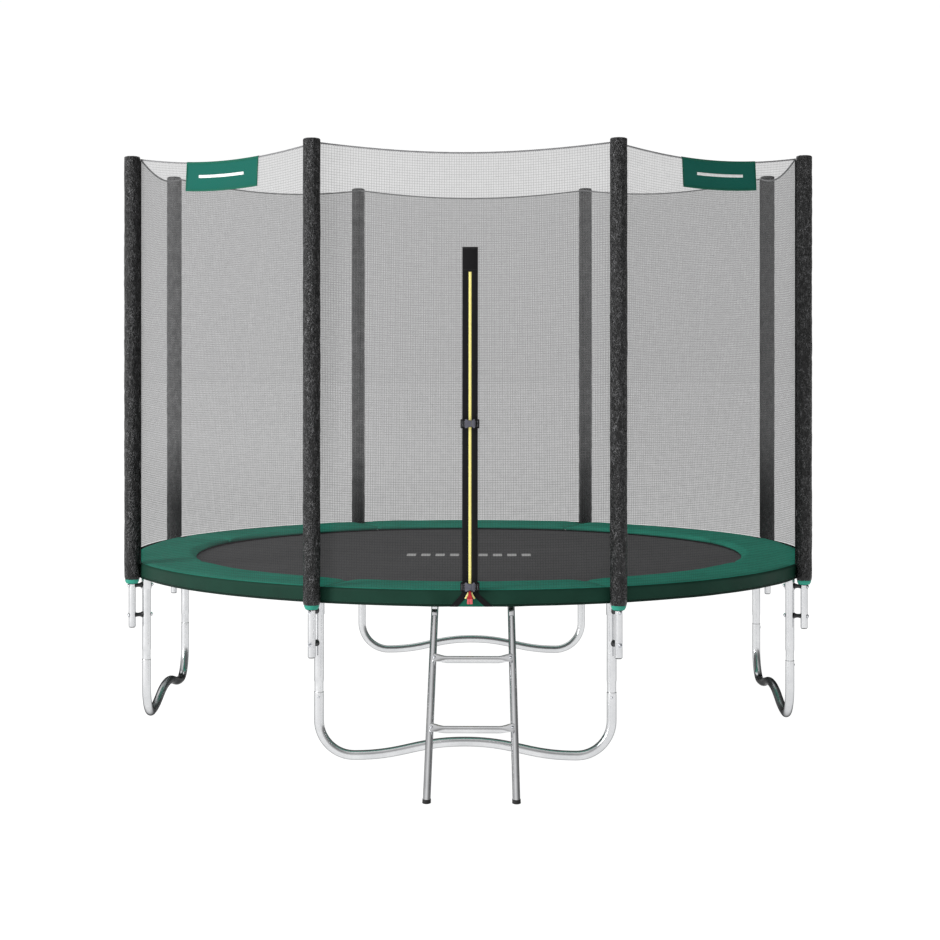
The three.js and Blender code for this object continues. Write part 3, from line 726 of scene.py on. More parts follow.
def make_leg(side, turn):
    """A leg bent from one tube, which rises in the middle between its two low points."""
    half = leg_half()
    outline = half + [Vector((-p.x, p.y)) for p in reversed(half[:-1])]
    place = radial_frame(0, turn, 0)
    reach = RAIL_RADIUS * math.cos(STATION_STEP / 2)
    path = [place @ Vector((reach, p.x, p.y)) for p in outline]
    shape = Shape().tube(path, lambda share: TUBE_RADIUS - 0.0007 * (share in (0, 1)), 28)
    make(f"leg_tube_{side}", shape, ZINC, "base", [f"u_leg_{side}"])
    collars = Shape()
    screws = Shape()
    for along in (outline[0].x, outline[-1].x):
        spot = place @ Matrix.Translation((reach, along, LEG_TOP))
        rim = [(NECK_RADIUS, -0.001), (TUBE_RADIUS, -0.001), (TUBE_RADIUS + 0.0005, 0.0),
               (TUBE_RADIUS, 0.0011), (NECK_RADIUS, 0.0011)]
        collars.lathe(rim, spot, 32, caps=False)
        outward = spot @ Matrix.Translation((TUBE_RADIUS - 0.001, 0, -0.018))
        bolt_head(screws, outward @ Matrix.Rotation(math.pi / 2, 4, "Y"), 0.0042, 0.0028)
    make(f"leg_rim_{side}", collars, ZINC, "base")
    make(f"leg_screws_{side}", screws, SPRING_STEEL, "base")


def make_frame():
    for number in STATIONS:
        make_rail(number)
        make_upright(number)
    for quarter, side in enumerate(("front", "right", "rear", "left")):
        make_leg(side, -math.pi / 2 + quarter * math.pi / 2)


# ---- Net poles with their foam sleeves ----

POLE_TUBE_RADIUS = 0.015
SLEEVE_RADIUS = 0.0345
SLEEVE_SIDES = 48
SLEEVE_DOME = [
    (0.985, 0.0075), (0.93, 0.0050), (0.84, 0.0030), (0.66, 0.0014), (0.40, 0.0006), (0.08, 0.0002),
]
POLE_HIDDEN_DEPTH = 0.03
POLE_COLLAR = [
    (0.0151, 0.5975), (0.0172, 0.5980), (0.0166, 0.5990), (0.0172, 0.6000), (0.0151, 0.6005),
]
BOLT_HEIGHTS = {"upper": 0.592, "lower": 0.464}
TEAL_HEM = (0.6015, 0.621)


def sideways(place, out, height):
    """A place that looks outwards along a station's own X axis."""
    return place @ Matrix.Translation((out, 0, height)) @ Matrix.Rotation(math.pi / 2, 4, "Y")


def make_pole(number):
    """A pole's tube with its end plug, hem collar, two spacers and two bolts."""
    angle = station_angle(number)
    place = radial_frame(0, angle, 0)
    pole = place @ Matrix.Translation((POLE_CIRCLE, 0, 0))
    bottom, top = POLE_BOTTOM, SLEEVE_TOP - POLE_HIDDEN_DEPTH
    tube = Shape().lathe(
        [(POLE_TUBE_RADIUS - 0.0012, bottom), (POLE_TUBE_RADIUS, bottom + 0.001)]
        + [(POLE_TUBE_RADIUS, bottom + 0.001 + (top - bottom) * s) for s in shares(30)[1:]],
        pole, 28,
    )
    make(f"pole_tube_{number}", tube, ZINC, "base", [f"net_pole_{number}"])
    plug = Shape().lathe([
        (0.004, bottom - 0.003), (0.0115, bottom - 0.003), (0.0132, bottom - 0.0015),
        (0.0136, bottom + 0.0008), (0.004, bottom + 0.0008),
    ], pole, 28)
    make(f"pole_plug_{number}", plug, BLACK_PLASTIC, "base")
    collar = Shape().lathe(POLE_COLLAR, pole, 28, caps=False)
    make(f"pole_collar_{number}", collar, BLACK_PLASTIC, "base")
    fasteners = Shape()
    for name, height in BOLT_HEIGHTS.items():
        near = SOCKET_RADIUS if name == "upper" else TUBE_RADIUS
        start, end = RAIL_RADIUS + near + 0.0004, POLE_CIRCLE - POLE_TUBE_RADIUS + 0.004
        length = end - start
        waist = [
            (0.0128 - 0.0045 * math.sin(math.pi * share) ** 0.7, length * share)
            for share in shares(12)
        ]
        spool = Shape().lathe(
            [(0.0118, 0), (0.0132, 0.0006)] + waist[1:-1] + [(0.0132, length - 0.0006), (0.0118, length)],
            sideways(place, start, height), 28,
        )
        make(f"spacer_{name}_{number}", spool, BLACK_PLASTIC, "base")
        bolt_head(fasteners, sideways(place, POLE_CIRCLE + POLE_TUBE_RADIUS - 0.001, height), 0.0072, 0.0055)
        inward = sideways(place, RAIL_RADIUS - near + 0.0008, height) @ Matrix.Rotation(math.pi, 4, "X")
        nut(fasteners, inward)
    make(f"pole_bolts_{number}", fasteners, SPRING_STEEL, "base")


def crinkle(turn, height, seed):
    """How far the cover stands off its foam: long creases, crumples and a seam."""
    around_it = outward_at(turn)
    long_creases = noise.noise(around_it * 2.6 + Vector((seed, 0, height * 7)))
    crumples = noise.noise(around_it * 5.5 + Vector((0, seed, height * 34)))
    sharp = 1 - abs(noise.noise(around_it * 3.4 + Vector((seed, seed, height * 15))))
    seam = math.exp(-((turn - math.pi) / 0.07) ** 2)
    return 0.0011 * long_creases + 0.0008 * crumples - 0.0016 * sharp ** 6 + 0.0011 * seam


def make_sleeve(number):
    """A foam sleeve in its crinkled cover, closed by a pleated dome and a green hem."""
    angle = station_angle(number)
    place = radial_frame(POLE_CIRCLE, angle, 0)
    low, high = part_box(f"foam_sleeve_{number}")
    seed = number * 11.3
    rows = []
    for share in shares(330):
        height = low.z + (high.z - 0.010 - low.z) * share
        tuck = 0.003 * math.exp(-((height - low.z) / 0.006) ** 2)
        rows.append([
            place @ polar(SLEEVE_RADIUS - 0.0002 - tuck + crinkle(t, height, seed), t, height)
            for t in circle(SLEEVE_SIDES)
        ])
    for width, drop in SLEEVE_DOME:
        pleat = 0.0008 * (width < 0.95)
        rows.append([
            place @ polar(SLEEVE_RADIUS * width + pleat * math.sin(9 * t + seed), t, high.z - drop)
            for t in circle(SLEEVE_SIDES)
        ])
    under = [place @ polar(0.0162, t, low.z) for t in circle(SLEEVE_SIDES)]
    size = (math.tau * SLEEVE_RADIUS, high.z - low.z)
    shape = Shape().grid([under] + rows, ring=True, size=size, caps=True)
    sleeve = make(
        f"sleeve_foam_{number}", shape, COVER, "base", [f"foam_sleeve_{number}"],
        sharp=70,
    )
    hem_rows = []
    for share in shares(8):
        height = TEAL_HEM[0] + (TEAL_HEM[1] - TEAL_HEM[0]) * share
        size = 0.0240 + 0.0062 * math.sin(math.pi / 2 * min(1, share * 1.25))
        hem_rows.append([
            place @ polar(size + 0.0007 * math.sin(7 * t + seed) * (1 - share), t, height)
            for t in circle(SLEEVE_SIDES)
        ])
    inner = [[p.lerp(place @ Vector((0, 0, p.z)), 0.06) for p in row] for row in reversed(hem_rows)]
    hem = Shape().grid(hem_rows + inner, ring=True, loop=True)
    make(f"sleeve_hem_{number}", hem, TEAL, "base")


def make_poles():
    for number in STATIONS:
        make_pole(number)
        make_sleeve(number)


# ---- Jumping mat and springs ----

SPRING_HEIGHT = 0.6545
COIL_RADIUS = 0.0078
WIRE_RADIUS = 0.0014
MAT_HOOK = [(0.017, -0.004), (0.014, 0.001), (0.016, 0.006), (0.023, 0.008)]
RAIL_HOOK = [(-0.022, 0.008), (-0.006, 0.009), (0.002, 0.006), (0.005, -0.004)]
COIL_STEPS = 9
COIL_TURNS = 26
SPRING_END = 1.4885
MAT_SECTORS = 256
MAT_THICKNESS = 0.0018
EDGE_TAPE = [
    (0.056, 0.0001), (0.055, 0.0009), (0.003, 0.0009), (0.0006, 0.0004), (0.0, -0.0014),
    (0.0006, -0.0032), (0.003, -0.0038), (0.055, -0.0038), (0.056, -0.0030),
]
RING_CORNERS = [
    (-0.008, -0.014), (-0.008, 0.014), (-0.006, 0.0155), (0.019, 0.0035),
    (0.0205, 0.0), (0.019, -0.0035), (-0.006, -0.0155), (-0.008, -0.014),
]
RING_TAB = [
    (-0.045, 0.0045), (-0.012, 0.0045), (-0.005, 0.0030), (-0.0035, 0.0),
    (-0.005, -0.0030), (-0.012, -0.0045), (-0.045, -0.0045),
]
MARK_COUNT = 9
MARK_SIZE = (0.042, 0.105)
MARK_GAP = 0.024


def spring_angle(index):
    return (index + 0.5) * math.tau / SPRING_COUNT


def scallop(angle):
    """The mat's edge is drawn out at each spring and hollow between them."""
    return 0.0032 * math.cos(SPRING_COUNT * (angle - spring_angle(0)))


def make_mat():
    rings = 30
    top, bottom = [], []
    for ring in range(1, rings + 1):
        share = ring / rings
        row = []
        for turn in circle(MAT_SECTORS):
            radius = share * (MAT_RADIUS - 0.004) + scallop(turn) * share ** 12
            sink = 0.0012 * (1 - share ** 2)
            row.append(around(radius, turn, MAT_TOP - 0.0006 - sink))
        top.append(row)
        bottom.append([p - Vector((0, 0, MAT_THICKNESS)) for p in row])
    shape = Shape().grid(top + bottom[::-1], ring=True, caps=True)
    shape.maps = [
        [(shape.points[i].x - AXIS.x, shape.points[i].y - AXIS.y) for i in face]
        for face in shape.faces
    ]
    mat = make("mat_sheet", shape, MAT_CLOTH, "mat", ["jumping_mat"])
    edge_rows = []
    for turn in circle(MAT_SECTORS):
        edge = MAT_RADIUS + scallop(turn)
        edge_rows.append([around(edge - inset, turn, MAT_TOP + rise) for inset, rise in EDGE_TAPE])
    edge_shape = Shape().grid(edge_rows, ring=True, loop=True)
    tape = make("mat_edge_tape", edge_shape, WEBBING, "mat")
    threads = Shape()
    for inset in (0.008, 0.014, 0.048):
        path = [
            around(MAT_RADIUS - inset, math.tau * share, MAT_TOP + 0.0011)
            for share in shares(MAT_SECTORS)
        ]
        stitches(threads, path, 0.007, 0.005, 0.0007)
    sewing = make("mat_stitching", threads, THREAD, "mat")
    rings_shape, tabs = Shape(), Shape()
    for index in range(SPRING_COUNT):
        place = radial_frame(MAT_RADIUS, spring_angle(index), SPRING_HEIGHT + 0.0035)
        rings_shape.tube([place @ Vector((x, y, 0)) for x, y in RING_CORNERS], 0.0018, 8)
        loop_path = [place @ Vector((x, 0, z)) for x, z in RING_TAB]
        across = place.to_3x3() @ Vector((0, 1, 0))
        tabs.ribbon(loop_path, across, 0.024, 0.0012)
    rings_piece = make("mat_rings", rings_shape, SPRING_STEEL, "mat")
    tabs_piece = make("mat_ring_tabs", tabs, WEBBING, "mat")
    marks = Shape()
    for index in range(MARK_COUNT):
        x = (index - (MARK_COUNT - 1) / 2) * (MARK_SIZE[0] + MARK_GAP)
        spot = Matrix.Translation(AXIS + Vector((x, 0, MAT_TOP - MAT_THICKNESS)))
        marks.plate(round_outline(*MARK_SIZE, 0.006), 0.0004, spot)
    mark = make("mat_centre_mark", marks, MAT_PRINT, "mat")


def spring_path(index):
    """The wire's centre line: a hook in the mat's ring, the coils, and a hook in the rail."""
    place = radial_frame(0, spring_angle(index), SPRING_HEIGHT)
    start, end = MAT_RADIUS + 0.033, SPRING_END - 0.034
    points = [place @ Vector((MAT_RADIUS + out, 0, up)) for out, up in MAT_HOOK]
    for share in shares(COIL_TURNS * COIL_STEPS):
        turn = math.tau * COIL_TURNS * share + math.pi / 2
        swell = COIL_RADIUS * (0.45 + 0.55 * min(1, share * 14, (1 - share) * 14))
        points.append(place @ Vector((
            start + (end - start) * share, swell * math.cos(turn), swell * math.sin(turn),
        )))
    return points + [place @ Vector((SPRING_END + out, 0, up)) for out, up in RAIL_HOOK]


def make_springs():
    for index in range(SPRING_COUNT):
        shape = Shape().tube(spring_path(index), WIRE_RADIUS, 6)
        stands_for = ["spring_set"] if index == 0 else []
        name = f"spring_{index + 1:02d}"
        spring = make(name, shape, SPRING_STEEL, None, stands_for, sharp=80)
        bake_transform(spring)


# ---- Safety pad ----

PAD_INNER = 1.263
PAD_OUTER = PAD_RADIUS - 0.0042
PAD_BOTTOM = 0.668
PAD_CROWN = PAD_TOP - 0.0025
PAD_STEPS = 110
SEAM_FULLNESS = 0.62
PUFF_FRAMES = 20
PUFF_REACH = 0.0062


def pad_section():
    """The pad's cross-section as (share across, height), once round from the inner bottom."""
    top = [(share, 1.0) for share in shares(24)]
    side = [(1.012, 0.86), (1.018, 0.6), (1.018, 0.4), (1.012, 0.14)]
    under = [(share, 0.0) for share in reversed(shares(9))]
    inner = [(-0.012, 0.14), (-0.018, 0.4), (-0.018, 0.6), (-0.012, 0.86)]
    return top + side + under + inner


def pad_inner_radius(share):
    """The inner edge runs nearly straight between two seams."""
    from_middle = (share - 0.5) * STATION_STEP
    straight = PAD_INNER * math.cos(STATION_STEP / 2) / math.cos(from_middle)
    return PAD_INNER + 0.16 * (straight - PAD_INNER)


def pad_shape(first_angle):
    """One sewn segment of the pad, thinner at its two seams."""
    rows = []
    gap = 0.0006 / PAD_INNER
    length = STATION_STEP - 2 * gap
    for share in shares(PAD_STEPS):
        from_seam = min(share, 1 - share) * STATION_STEP * PAD_INNER
        fullness = SEAM_FULLNESS + (1 - SEAM_FULLNESS) * ease(from_seam / 0.030)
        inner = pad_inner_radius(share)
        row = []
        for across, height in pad_section():
            radius = inner + (PAD_OUTER - 0.005 - inner) * across
            thick = (PAD_CROWN - PAD_BOTTOM) * fullness
            row.append(around(radius, first_angle + gap + length * share, PAD_BOTTOM + thick * height))
        rows.append(row)
    return Shape().grid(rows, ring=True, caps=True, size=(0.56, STATION_STEP * PAD_RADIUS))


def puff(piece, held):
    """Blows a closed cloth up a little, then returns how far each of its points moved."""
    rest = np.array([v.co for v in piece.data.vertices])
    group = piece.vertex_groups.new(name="held")
    group.add([int(index) for index in held], 1.0, "REPLACE")
    cloth = piece.modifiers.new("cloth", "CLOTH")
    settings = cloth.settings
    settings.quality = 6
    settings.mass = 0.25
    settings.tension_stiffness = 22
    settings.compression_stiffness = 9
    settings.shear_stiffness = 8
    settings.bending_stiffness = 0.25
    settings.use_pressure = True
    settings.uniform_pressure_force = 4
    settings.vertex_group_mass = "held"
    settings.effector_weights.gravity = 0
    cloth.point_cache.frame_start, cloth.point_cache.frame_end = 1, PUFF_FRAMES
    for number in range(1, PUFF_FRAMES + 1):
        bpy.context.scene.frame_set(number)
    ready = piece.evaluated_get(bpy.context.evaluated_depsgraph_get())
    moved = np.array([v.co for v in ready.data.vertices]) - rest
    piece.modifiers.remove(cloth)
    piece.vertex_groups.remove(group)
    bpy.context.scene.frame_set(1)
    return moved


def pad_swelling():
    """How far the first segment's points move when its cover is blown up over the foam."""
    shape = pad_shape(station_angle(1))
    section = pad_section()
    width = len(section)
    count = len(shape.points)
    test = make("pad_test", shape, PAD_GREEN, "base")
    held = [
        i for i in range(count)
        if section[i % width][1] < 0.5 or i < width or i >= count - width
    ]
    moved = puff(test, held)
    bpy.data.objects.remove(test)
    size = np.linalg.norm(moved, axis=1)
    limit = np.minimum(1, PUFF_REACH / np.maximum(size, 1e-9))
    return moved * limit[:, None]


def make_pad():
    swelling = pad_swelling()
    for number in STATIONS:
        shape = pad_shape(station_angle(number))
        turn = Matrix.Rotation((number - 1) * STATION_STEP, 3, "Z")
        for index, point in enumerate(shape.points):
            ripple = noise.noise(point * 9 + Vector((number, 0, 0))) * 0.0012
            at_top = max(0, (point.z - PAD_BOTTOM) / (PAD_TOP - PAD_BOTTOM))
            shape.points[index] = point + turn @ Vector(swelling[index]) + Vector((0, 0, ripple * at_top))
        stands_for = ["safety_pad"] if number == 1 else []
        segment = make(f"pad_segment_{number}", shape, PAD_GREEN, "base", stands_for)
        smooth = segment.modifiers.new("smooth", "SUBSURF")
        smooth.levels = smooth.render_levels = 1
        make_pad_seam(number)


def make_pad_seam(number):
    """A sewn welt over the join of two segments, with a row of stitches on each side."""
    angle = station_angle(number)
    across = across_at(angle)
    path = []
    for share in shares(30):
        radius = PAD_INNER - 0.002 + (PAD_OUTER + 0.001 - PAD_INNER) * share
        height = PAD_BOTTOM + (PAD_CROWN - PAD_BOTTOM) * SEAM_FULLNESS + 0.0014
        drop = 0.008 * (ease(1 - share / 0.03) + ease((share - 0.97) / 0.03))
        path.append(around(radius, angle, height - drop))
    make(f"pad_seam_{number}", Shape().ribbon(path, across, 0.009, 0.0016), PAD_GREEN, "base")
    threads = Shape()
    for side in (-0.0028, 0.0028):
        beside = [p + across * side + Vector((0, 0, 0.0009)) for p in path[1:-1]]
        stitches(threads, beside, 0.005, 0.003)
    make(f"pad_seam_thread_{number}", threads, GREEN_THREAD, "base")


SKIRT_TURNS = 720
SKIRT_TOP = PAD_TOP - 0.0008
SKIRT_LINE = PAD_RADIUS - 0.0004
SKIRT_THICKNESS = 0.0011
SKIRT_TUCK = 0.0058
HEM_SECTION = [
    (0.0010, 0.0), (0.0013, 0.004), (0.0010, 0.0085), (0.0001, 0.0088), (-0.0012, 0.0088),
    (-0.0021, 0.0085), (-0.0024, 0.004), (-0.0021, 0.0), (-0.0006, -0.0006),
]
HOOK_ROOM = 0.0085
HOOK_ROOM_WIDTH = 0.045


def room_for_hooks(angle):
    """How far the skirt's hem stands off in front of the ladder's two hooks."""
    if math.sin(angle) > 0:
        return 0
    room = 0
    for side in (-1, 1):
        away = AXIS.x + PAD_RADIUS * math.cos(angle) - (LADDER_X + side * STILE_TOP.x)
        room += HOOK_ROOM * math.exp(-(away / HOOK_ROOM_WIDTH) ** 2)
    return room


def skirt_radius(angle, share):
    """The skirt's face: tucked in under the pad's edge, then in slow waves that grow towards
    its hem and clear the ladder's hooks."""
    where = outward_at(angle)
    wave = 0.0034 * noise.noise(where * 9) + 0.0009 * noise.noise(where * 41)
    tuck = SKIRT_TUCK * (1 - ease(share / 0.10))
    return SKIRT_LINE - tuck + share * (wave + room_for_hooks(angle))


def make_skirt():
    rows = []
    for turn in circle(SKIRT_TURNS):
        outer, inner = [], []
        for share in shares(14):
            height = SKIRT_TOP + (SKIRT_BOTTOM + 0.0005 - SKIRT_TOP) * share
            radius = skirt_radius(turn, share)
            outer.append(around(radius, turn, height))
            inner.append(around(radius - SKIRT_THICKNESS, turn, height))
        rows.append(outer + inner[::-1])
    shape = Shape().grid(rows, ring=True, loop=True, size=(0.13, math.tau * PAD_RADIUS))
    skirt = make("pad_skirt", shape, SKIRT_GREEN, "base")
    hem_rows = [
        [around(skirt_radius(turn, 1.0) + out, turn, SKIRT_BOTTOM + rise) for out, rise in HEM_SECTION]
        for turn in circle(SKIRT_TURNS)
    ]
    hem = make("skirt_hem", Shape().grid(hem_rows, ring=True, loop=True), HEM_GREEN, "base")
    path = [
        around(skirt_radius(math.tau * s, 0.86) + 0.0014, math.tau * s, SKIRT_BOTTOM + 0.0115)
        for s in shares(SKIRT_TURNS)
    ]
    threads = stitches(Shape(), path, 0.006, 0.004, 0.0005)
    sewing = make("skirt_thread", threads, GREEN_THREAD, "base")
    seams = Shape()
    for number in STATIONS:
        angle = station_angle(number)
        drop = [
            around(skirt_radius(angle, s) + 0.0008, angle,
                   SKIRT_TOP + (SKIRT_BOTTOM + 0.009 - SKIRT_TOP) * s)
            for s in shares(10)
        ]
        seams.ribbon(drop, across_at(angle), 0.007, 0.0014)
    welts = make("skirt_seams", seams, SKIRT_GREEN, "base")


# ---- Enclosure net ----

NET_LINE = NET_RADIUS - 0.0015
ROPE_STRAND = 0.0019
ROPE_TWIST = 0.026


def panel_share(angle):
    turn = (angle - FIRST_STATION) / STATION_STEP
    return turn - math.floor(turn)


def net_top(angle):
    """The top edge sags between the poles."""
    from_middle = 2 * panel_share(angle) - 1
    return NET_TOP - NET_SAG * (1 - from_middle ** 2)


def net_point(angle, rise, out=0.0):
    """A place on the net, which is round at the pad and straight between the poles on top."""
    from_middle = (panel_share(angle) - 0.5) * STATION_STEP
    straight = NET_LINE * math.cos(STATION_STEP / 2) / math.cos(from_middle)
    radius = NET_LINE + (straight - NET_LINE) * rise + out
    return around(radius, angle, NET_BOTTOM + (net_top(angle) - NET_BOTTOM) * rise)


def inside_panel(number, share):
    """An angle within a panel, kept just short of its two corners."""
    share = min(1 - 1e-6, max(1e-6, share))
    return station_angle(number) + STATION_STEP * share


def make_net():
    width, height = STATION_STEP * NET_LINE, NET_TOP - NET_BOTTOM
    for number in STATIONS:
        rows = []
        for rise in shares(44):
            row = []
            for share in shares(40):
                angle = inside_panel(number, share)
                point = net_point(angle, rise)
                near_pole = math.exp(-min(share, 1 - share) / 0.05)
                pull = 0.0016 * near_pole * math.sin(rise * 60 + number)
                sway = 0.0018 * noise.noise(point * 2.2) * math.sin(math.pi * rise)
                row.append(around(
                    (point - AXIS).to_2d().length + pull + sway, angle, point.z
                ))
            rows.append(row)
        shape = Shape().grid(rows, size=(width, height))
        stands_for = ["enclosure_net"] if number == 1 else []
        panel = make(f"net_panel_{number}", shape, NET, "base", stands_for, sharp=180)
        make_net_seam(number)
    make_rope()


def make_net_seam(number):
    """A tape down the net behind each pole, with loops that hold it to the pole."""
    angle = station_angle(number)
    across = across_at(angle)
    path = [net_point(angle + 1e-6, rise, 0.001) for rise in shares(40)]
    seam = Shape().ribbon(path, across, 0.020, 0.0012)
    make(f"net_seam_{number}", seam, WEBBING, "base")
    ties = Shape()
    for height in (1.0, 1.6, 2.2, 2.415):
        rise = (height - NET_BOTTOM) / (NET_TOP - NET_BOTTOM)
        start = net_point(angle + 1e-6, rise)
        out = around(POLE_CIRCLE, angle, start.z) - start
        loop = line(start + out.normalized() * 0.0006, start + out * 0.12, 3)
        ties.ribbon(loop, across, 0.018, 0.0012)
    make(f"net_ties_{number}", ties, WEBBING, "base")


def make_rope():
    """Three strands twisted round each other along the net's top edge."""
    count = 3200
    centre = []
    for share in shares(count)[:-1]:
        angle = FIRST_STATION + math.tau * share
        centre.append(net_point(angle, 1.0) + Vector((0, 0, 0.004)))
    shape = Shape()
    length = sum((b - a).length for a, b in zip(centre, centre[1:]))
    turns = round(length / ROPE_TWIST)
    for strand in range(3):
        path = []
        for index, point in enumerate(centre):
            angle = FIRST_STATION + math.tau * index / count
            twist = math.tau * (turns * index / count + strand / 3)
            turned = outward_at(angle) * math.cos(twist) + Vector((0, 0, 1)) * math.sin(twist)
            path.append(point + turned * ROPE_STRAND)
        shape.tube(path, ROPE_STRAND, 6)
    make("net_rope_strands", shape, ROPE, "base", ["net_rope"], sharp=80)


# ---- Net door ----

LEAN = math.atan2(NET_RADIUS * (1 - math.cos(STATION_STEP / 2)), NET_TOP - NET_SAG - NET_BOTTOM)
DOOR = (
    Matrix.Translation(AXIS + Vector((DOOR_X, -NET_RADIUS, NET_BOTTOM)))
    @ Matrix.Rotation(-LEAN, 4, "X")
)
BAND_WIDTH = 0.061
BAND_ENDS = (0.016, 1.336)
FLAP_OFFSET, FLAP_WIDTH = 0.0185, 0.024
ZIP_TAPE_OFFSET, ZIP_TAPE_WIDTH = 0.0027, 0.0050
ZIP_ENDS = (0.018, 1.238)
TOOTH_PITCH = 0.0032
SLIDER_BACK = 0.0059
SLIDER_BOTTOM = -0.012
PULL_TOP = -0.007
PULL_OUT = 0.0142
PULL_BAR_OUT = PULL_OUT - 0.0002
PULL_LOOP_RADIUS = 0.0028
PULL_LOOP_WIDTH = 0.0095
BUCKLE_BACK = 0.017
BUCKLE_HEIGHTS = {"upper": 0.643, "lower": 0.011}
BUCKLE_SHIFT = 0.0055
BUCKLE_THICKNESS = 0.0115
BUCKLE_RIB_BASE = BUCKLE_THICKNESS - 0.0002
SOCKET_HALF = [
    (-0.0250, -0.0155), (-0.0238, -0.0170), (-0.0175, -0.0170),
    (-0.0125, -0.0118), (-0.0030, -0.0100), (-0.0006, -0.0100),
]
PLUG_HALF = [
    (0.0006, -0.0100), (0.0035, -0.0118), (0.0075, -0.0170), (0.0130, -0.0170), (0.0140, -0.0155),
]
PRONG = [
    (0.0035, 0.0108), (-0.0030, 0.0112), (-0.0085, 0.0124), (-0.0130, 0.0128), (-0.0170, 0.0104),
]
TAB_ROUTE = [
    (0.0200, 0.0056), (0.0320, 0.0060), (0.0355, 0.0085), (0.0362, 0.0140),
    (0.0352, 0.0205), (0.0320, 0.0228), (0.0250, 0.0232), (0.0196, 0.0232),
]
STRAP_WIDTH = 0.030
STRAP_SPREAD = {-1: 1.03, 1: 1.20}
DOOR_ACROSS = Vector((1, 0, 0))
DOOR_UP = DOOR.to_3x3() @ Vector((0, 0, 1))
DOOR_STITCH = (0.0042, 0.0028, 0.00045)
STRAP_ROUTE = [
    (0.688, 0.010, 0.0008), (0.680, 0.014, 0.0020), (0.668, 0.021, 0.0030),
    (0.656, 0.0317, 0.0034), (0.644, 0.0424, 0.0038), (0.632, 0.0530, 0.0042),
    (0.6255, 0.0590, 0.0042), (0.6235, 0.0605, 0.0030), (0.6228, 0.0612, -0.0020),
]
SLIDER_OUTLINE = [
    (-0.0055, 0), (-0.0088, 0.006), (-0.0090, 0.017), (-0.0070, 0.0245), (-0.0022, 0.026),
    (0.0022, 0.026), (0.0070, 0.0245), (0.0090, 0.017), (0.0088, 0.006), (0.0055, 0),
]


def on_door(x, out, up):
    """A place on the net door: across it, away from the net and up along it."""
    return DOOR @ Vector((x, -out, up))


def door_line(x, out, low, high, steps):
    """A straight line up the door."""
    return line(on_door(x, out, low), on_door(x, out, high), steps)


def facing_out(x, out, up):
    """A place on the door whose own XY plane faces away from the net."""
    return DOOR @ Matrix.Translation((x, -out, up)) @ Matrix.Rotation(math.pi / 2, 4, "X")


def make_band():
    bottom, top = BAND_ENDS
    for side, name in ((-1, "left"), (1, "right")):
        flap = Shape().ribbon(
            door_line(side * FLAP_OFFSET, 0.0020, bottom, top, 60),
            DOOR_ACROSS, FLAP_WIDTH, 0.0022,
        )
        stands_for = ["door_band"] if side < 0 else []
        make(f"door_tape_{name}", flap, WEBBING, "base", stands_for)
    backing = Shape().ribbon(
        door_line(0, 0.0012, bottom + 0.001, top - 0.001, 60),
        DOOR_ACROSS, BAND_WIDTH - 0.002, 0.0011,
    )
    make("door_backing", backing, WEBBING, "base")
    head = Shape().ribbon(
        door_line(0, 0.0036, ZIP_ENDS[1] + 0.002, top, 10),
        DOOR_ACROSS, BAND_WIDTH - 0.001, 0.0016,
    )
    make("door_head_tape", head, WEBBING, "base")
    threads = Shape()
    for x in (-0.0285, -0.0095, 0.0095, 0.0285):
        stitches(threads, door_line(x, 0.0033, bottom + 0.003, top - 0.004, 40), *DOOR_STITCH)
    for up in (ZIP_ENDS[1] + 0.008, top - 0.006):
        path = line(on_door(-0.028, 0.0046, up), on_door(0.028, 0.0046, up), 6)
        stitches(threads, path, *DOOR_STITCH)
    make("door_stitching", threads, THREAD, "base")


def make_zip():
    bottom, top = ZIP_ENDS
    tape = Shape()
    for side in (-1, 1):
        edge = door_line(side * ZIP_TAPE_OFFSET, 0.0040, bottom, top, 60)
        tape.ribbon(edge, DOOR_ACROSS, ZIP_TAPE_WIDTH, 0.0008)
    make("zip_tape", tape, ZIP_YELLOW, "base", ["zip_chain"])
    teeth = Shape()
    for index in range(int((top - bottom - 0.004) / TOOTH_PITCH)):
        side = 1 if index % 2 else -1
        spot = facing_out(side * 0.0008, 0.0042, bottom + 0.003 + index * TOOTH_PITCH)
        head = [(-0.0030 * side, -0.0010), (0.0022 * side, -0.0013), (0.0030 * side, 0.0),
                (0.0022 * side, 0.0013), (-0.0030 * side, 0.0010)]
        teeth.plate(head, 0.0013, spot)
    make("zip_teeth", teeth, ZIP_YELLOW, "base")
    ends = Shape()
    for side in (-1, 1):
        path = [on_door(side * x, out, up) for x, out, up in (
            (0.0040, 0.0062, -0.004), (0.0066, 0.0076, -0.013), (0.0115, 0.0090, -0.023),
            (0.0180, 0.0096, -0.034),
        )]
        ends.ribbon(path, DOOR_ACROSS, 0.0068, 0.0012)
    make("zip_ends", ends, ZIP_YELLOW, "base")


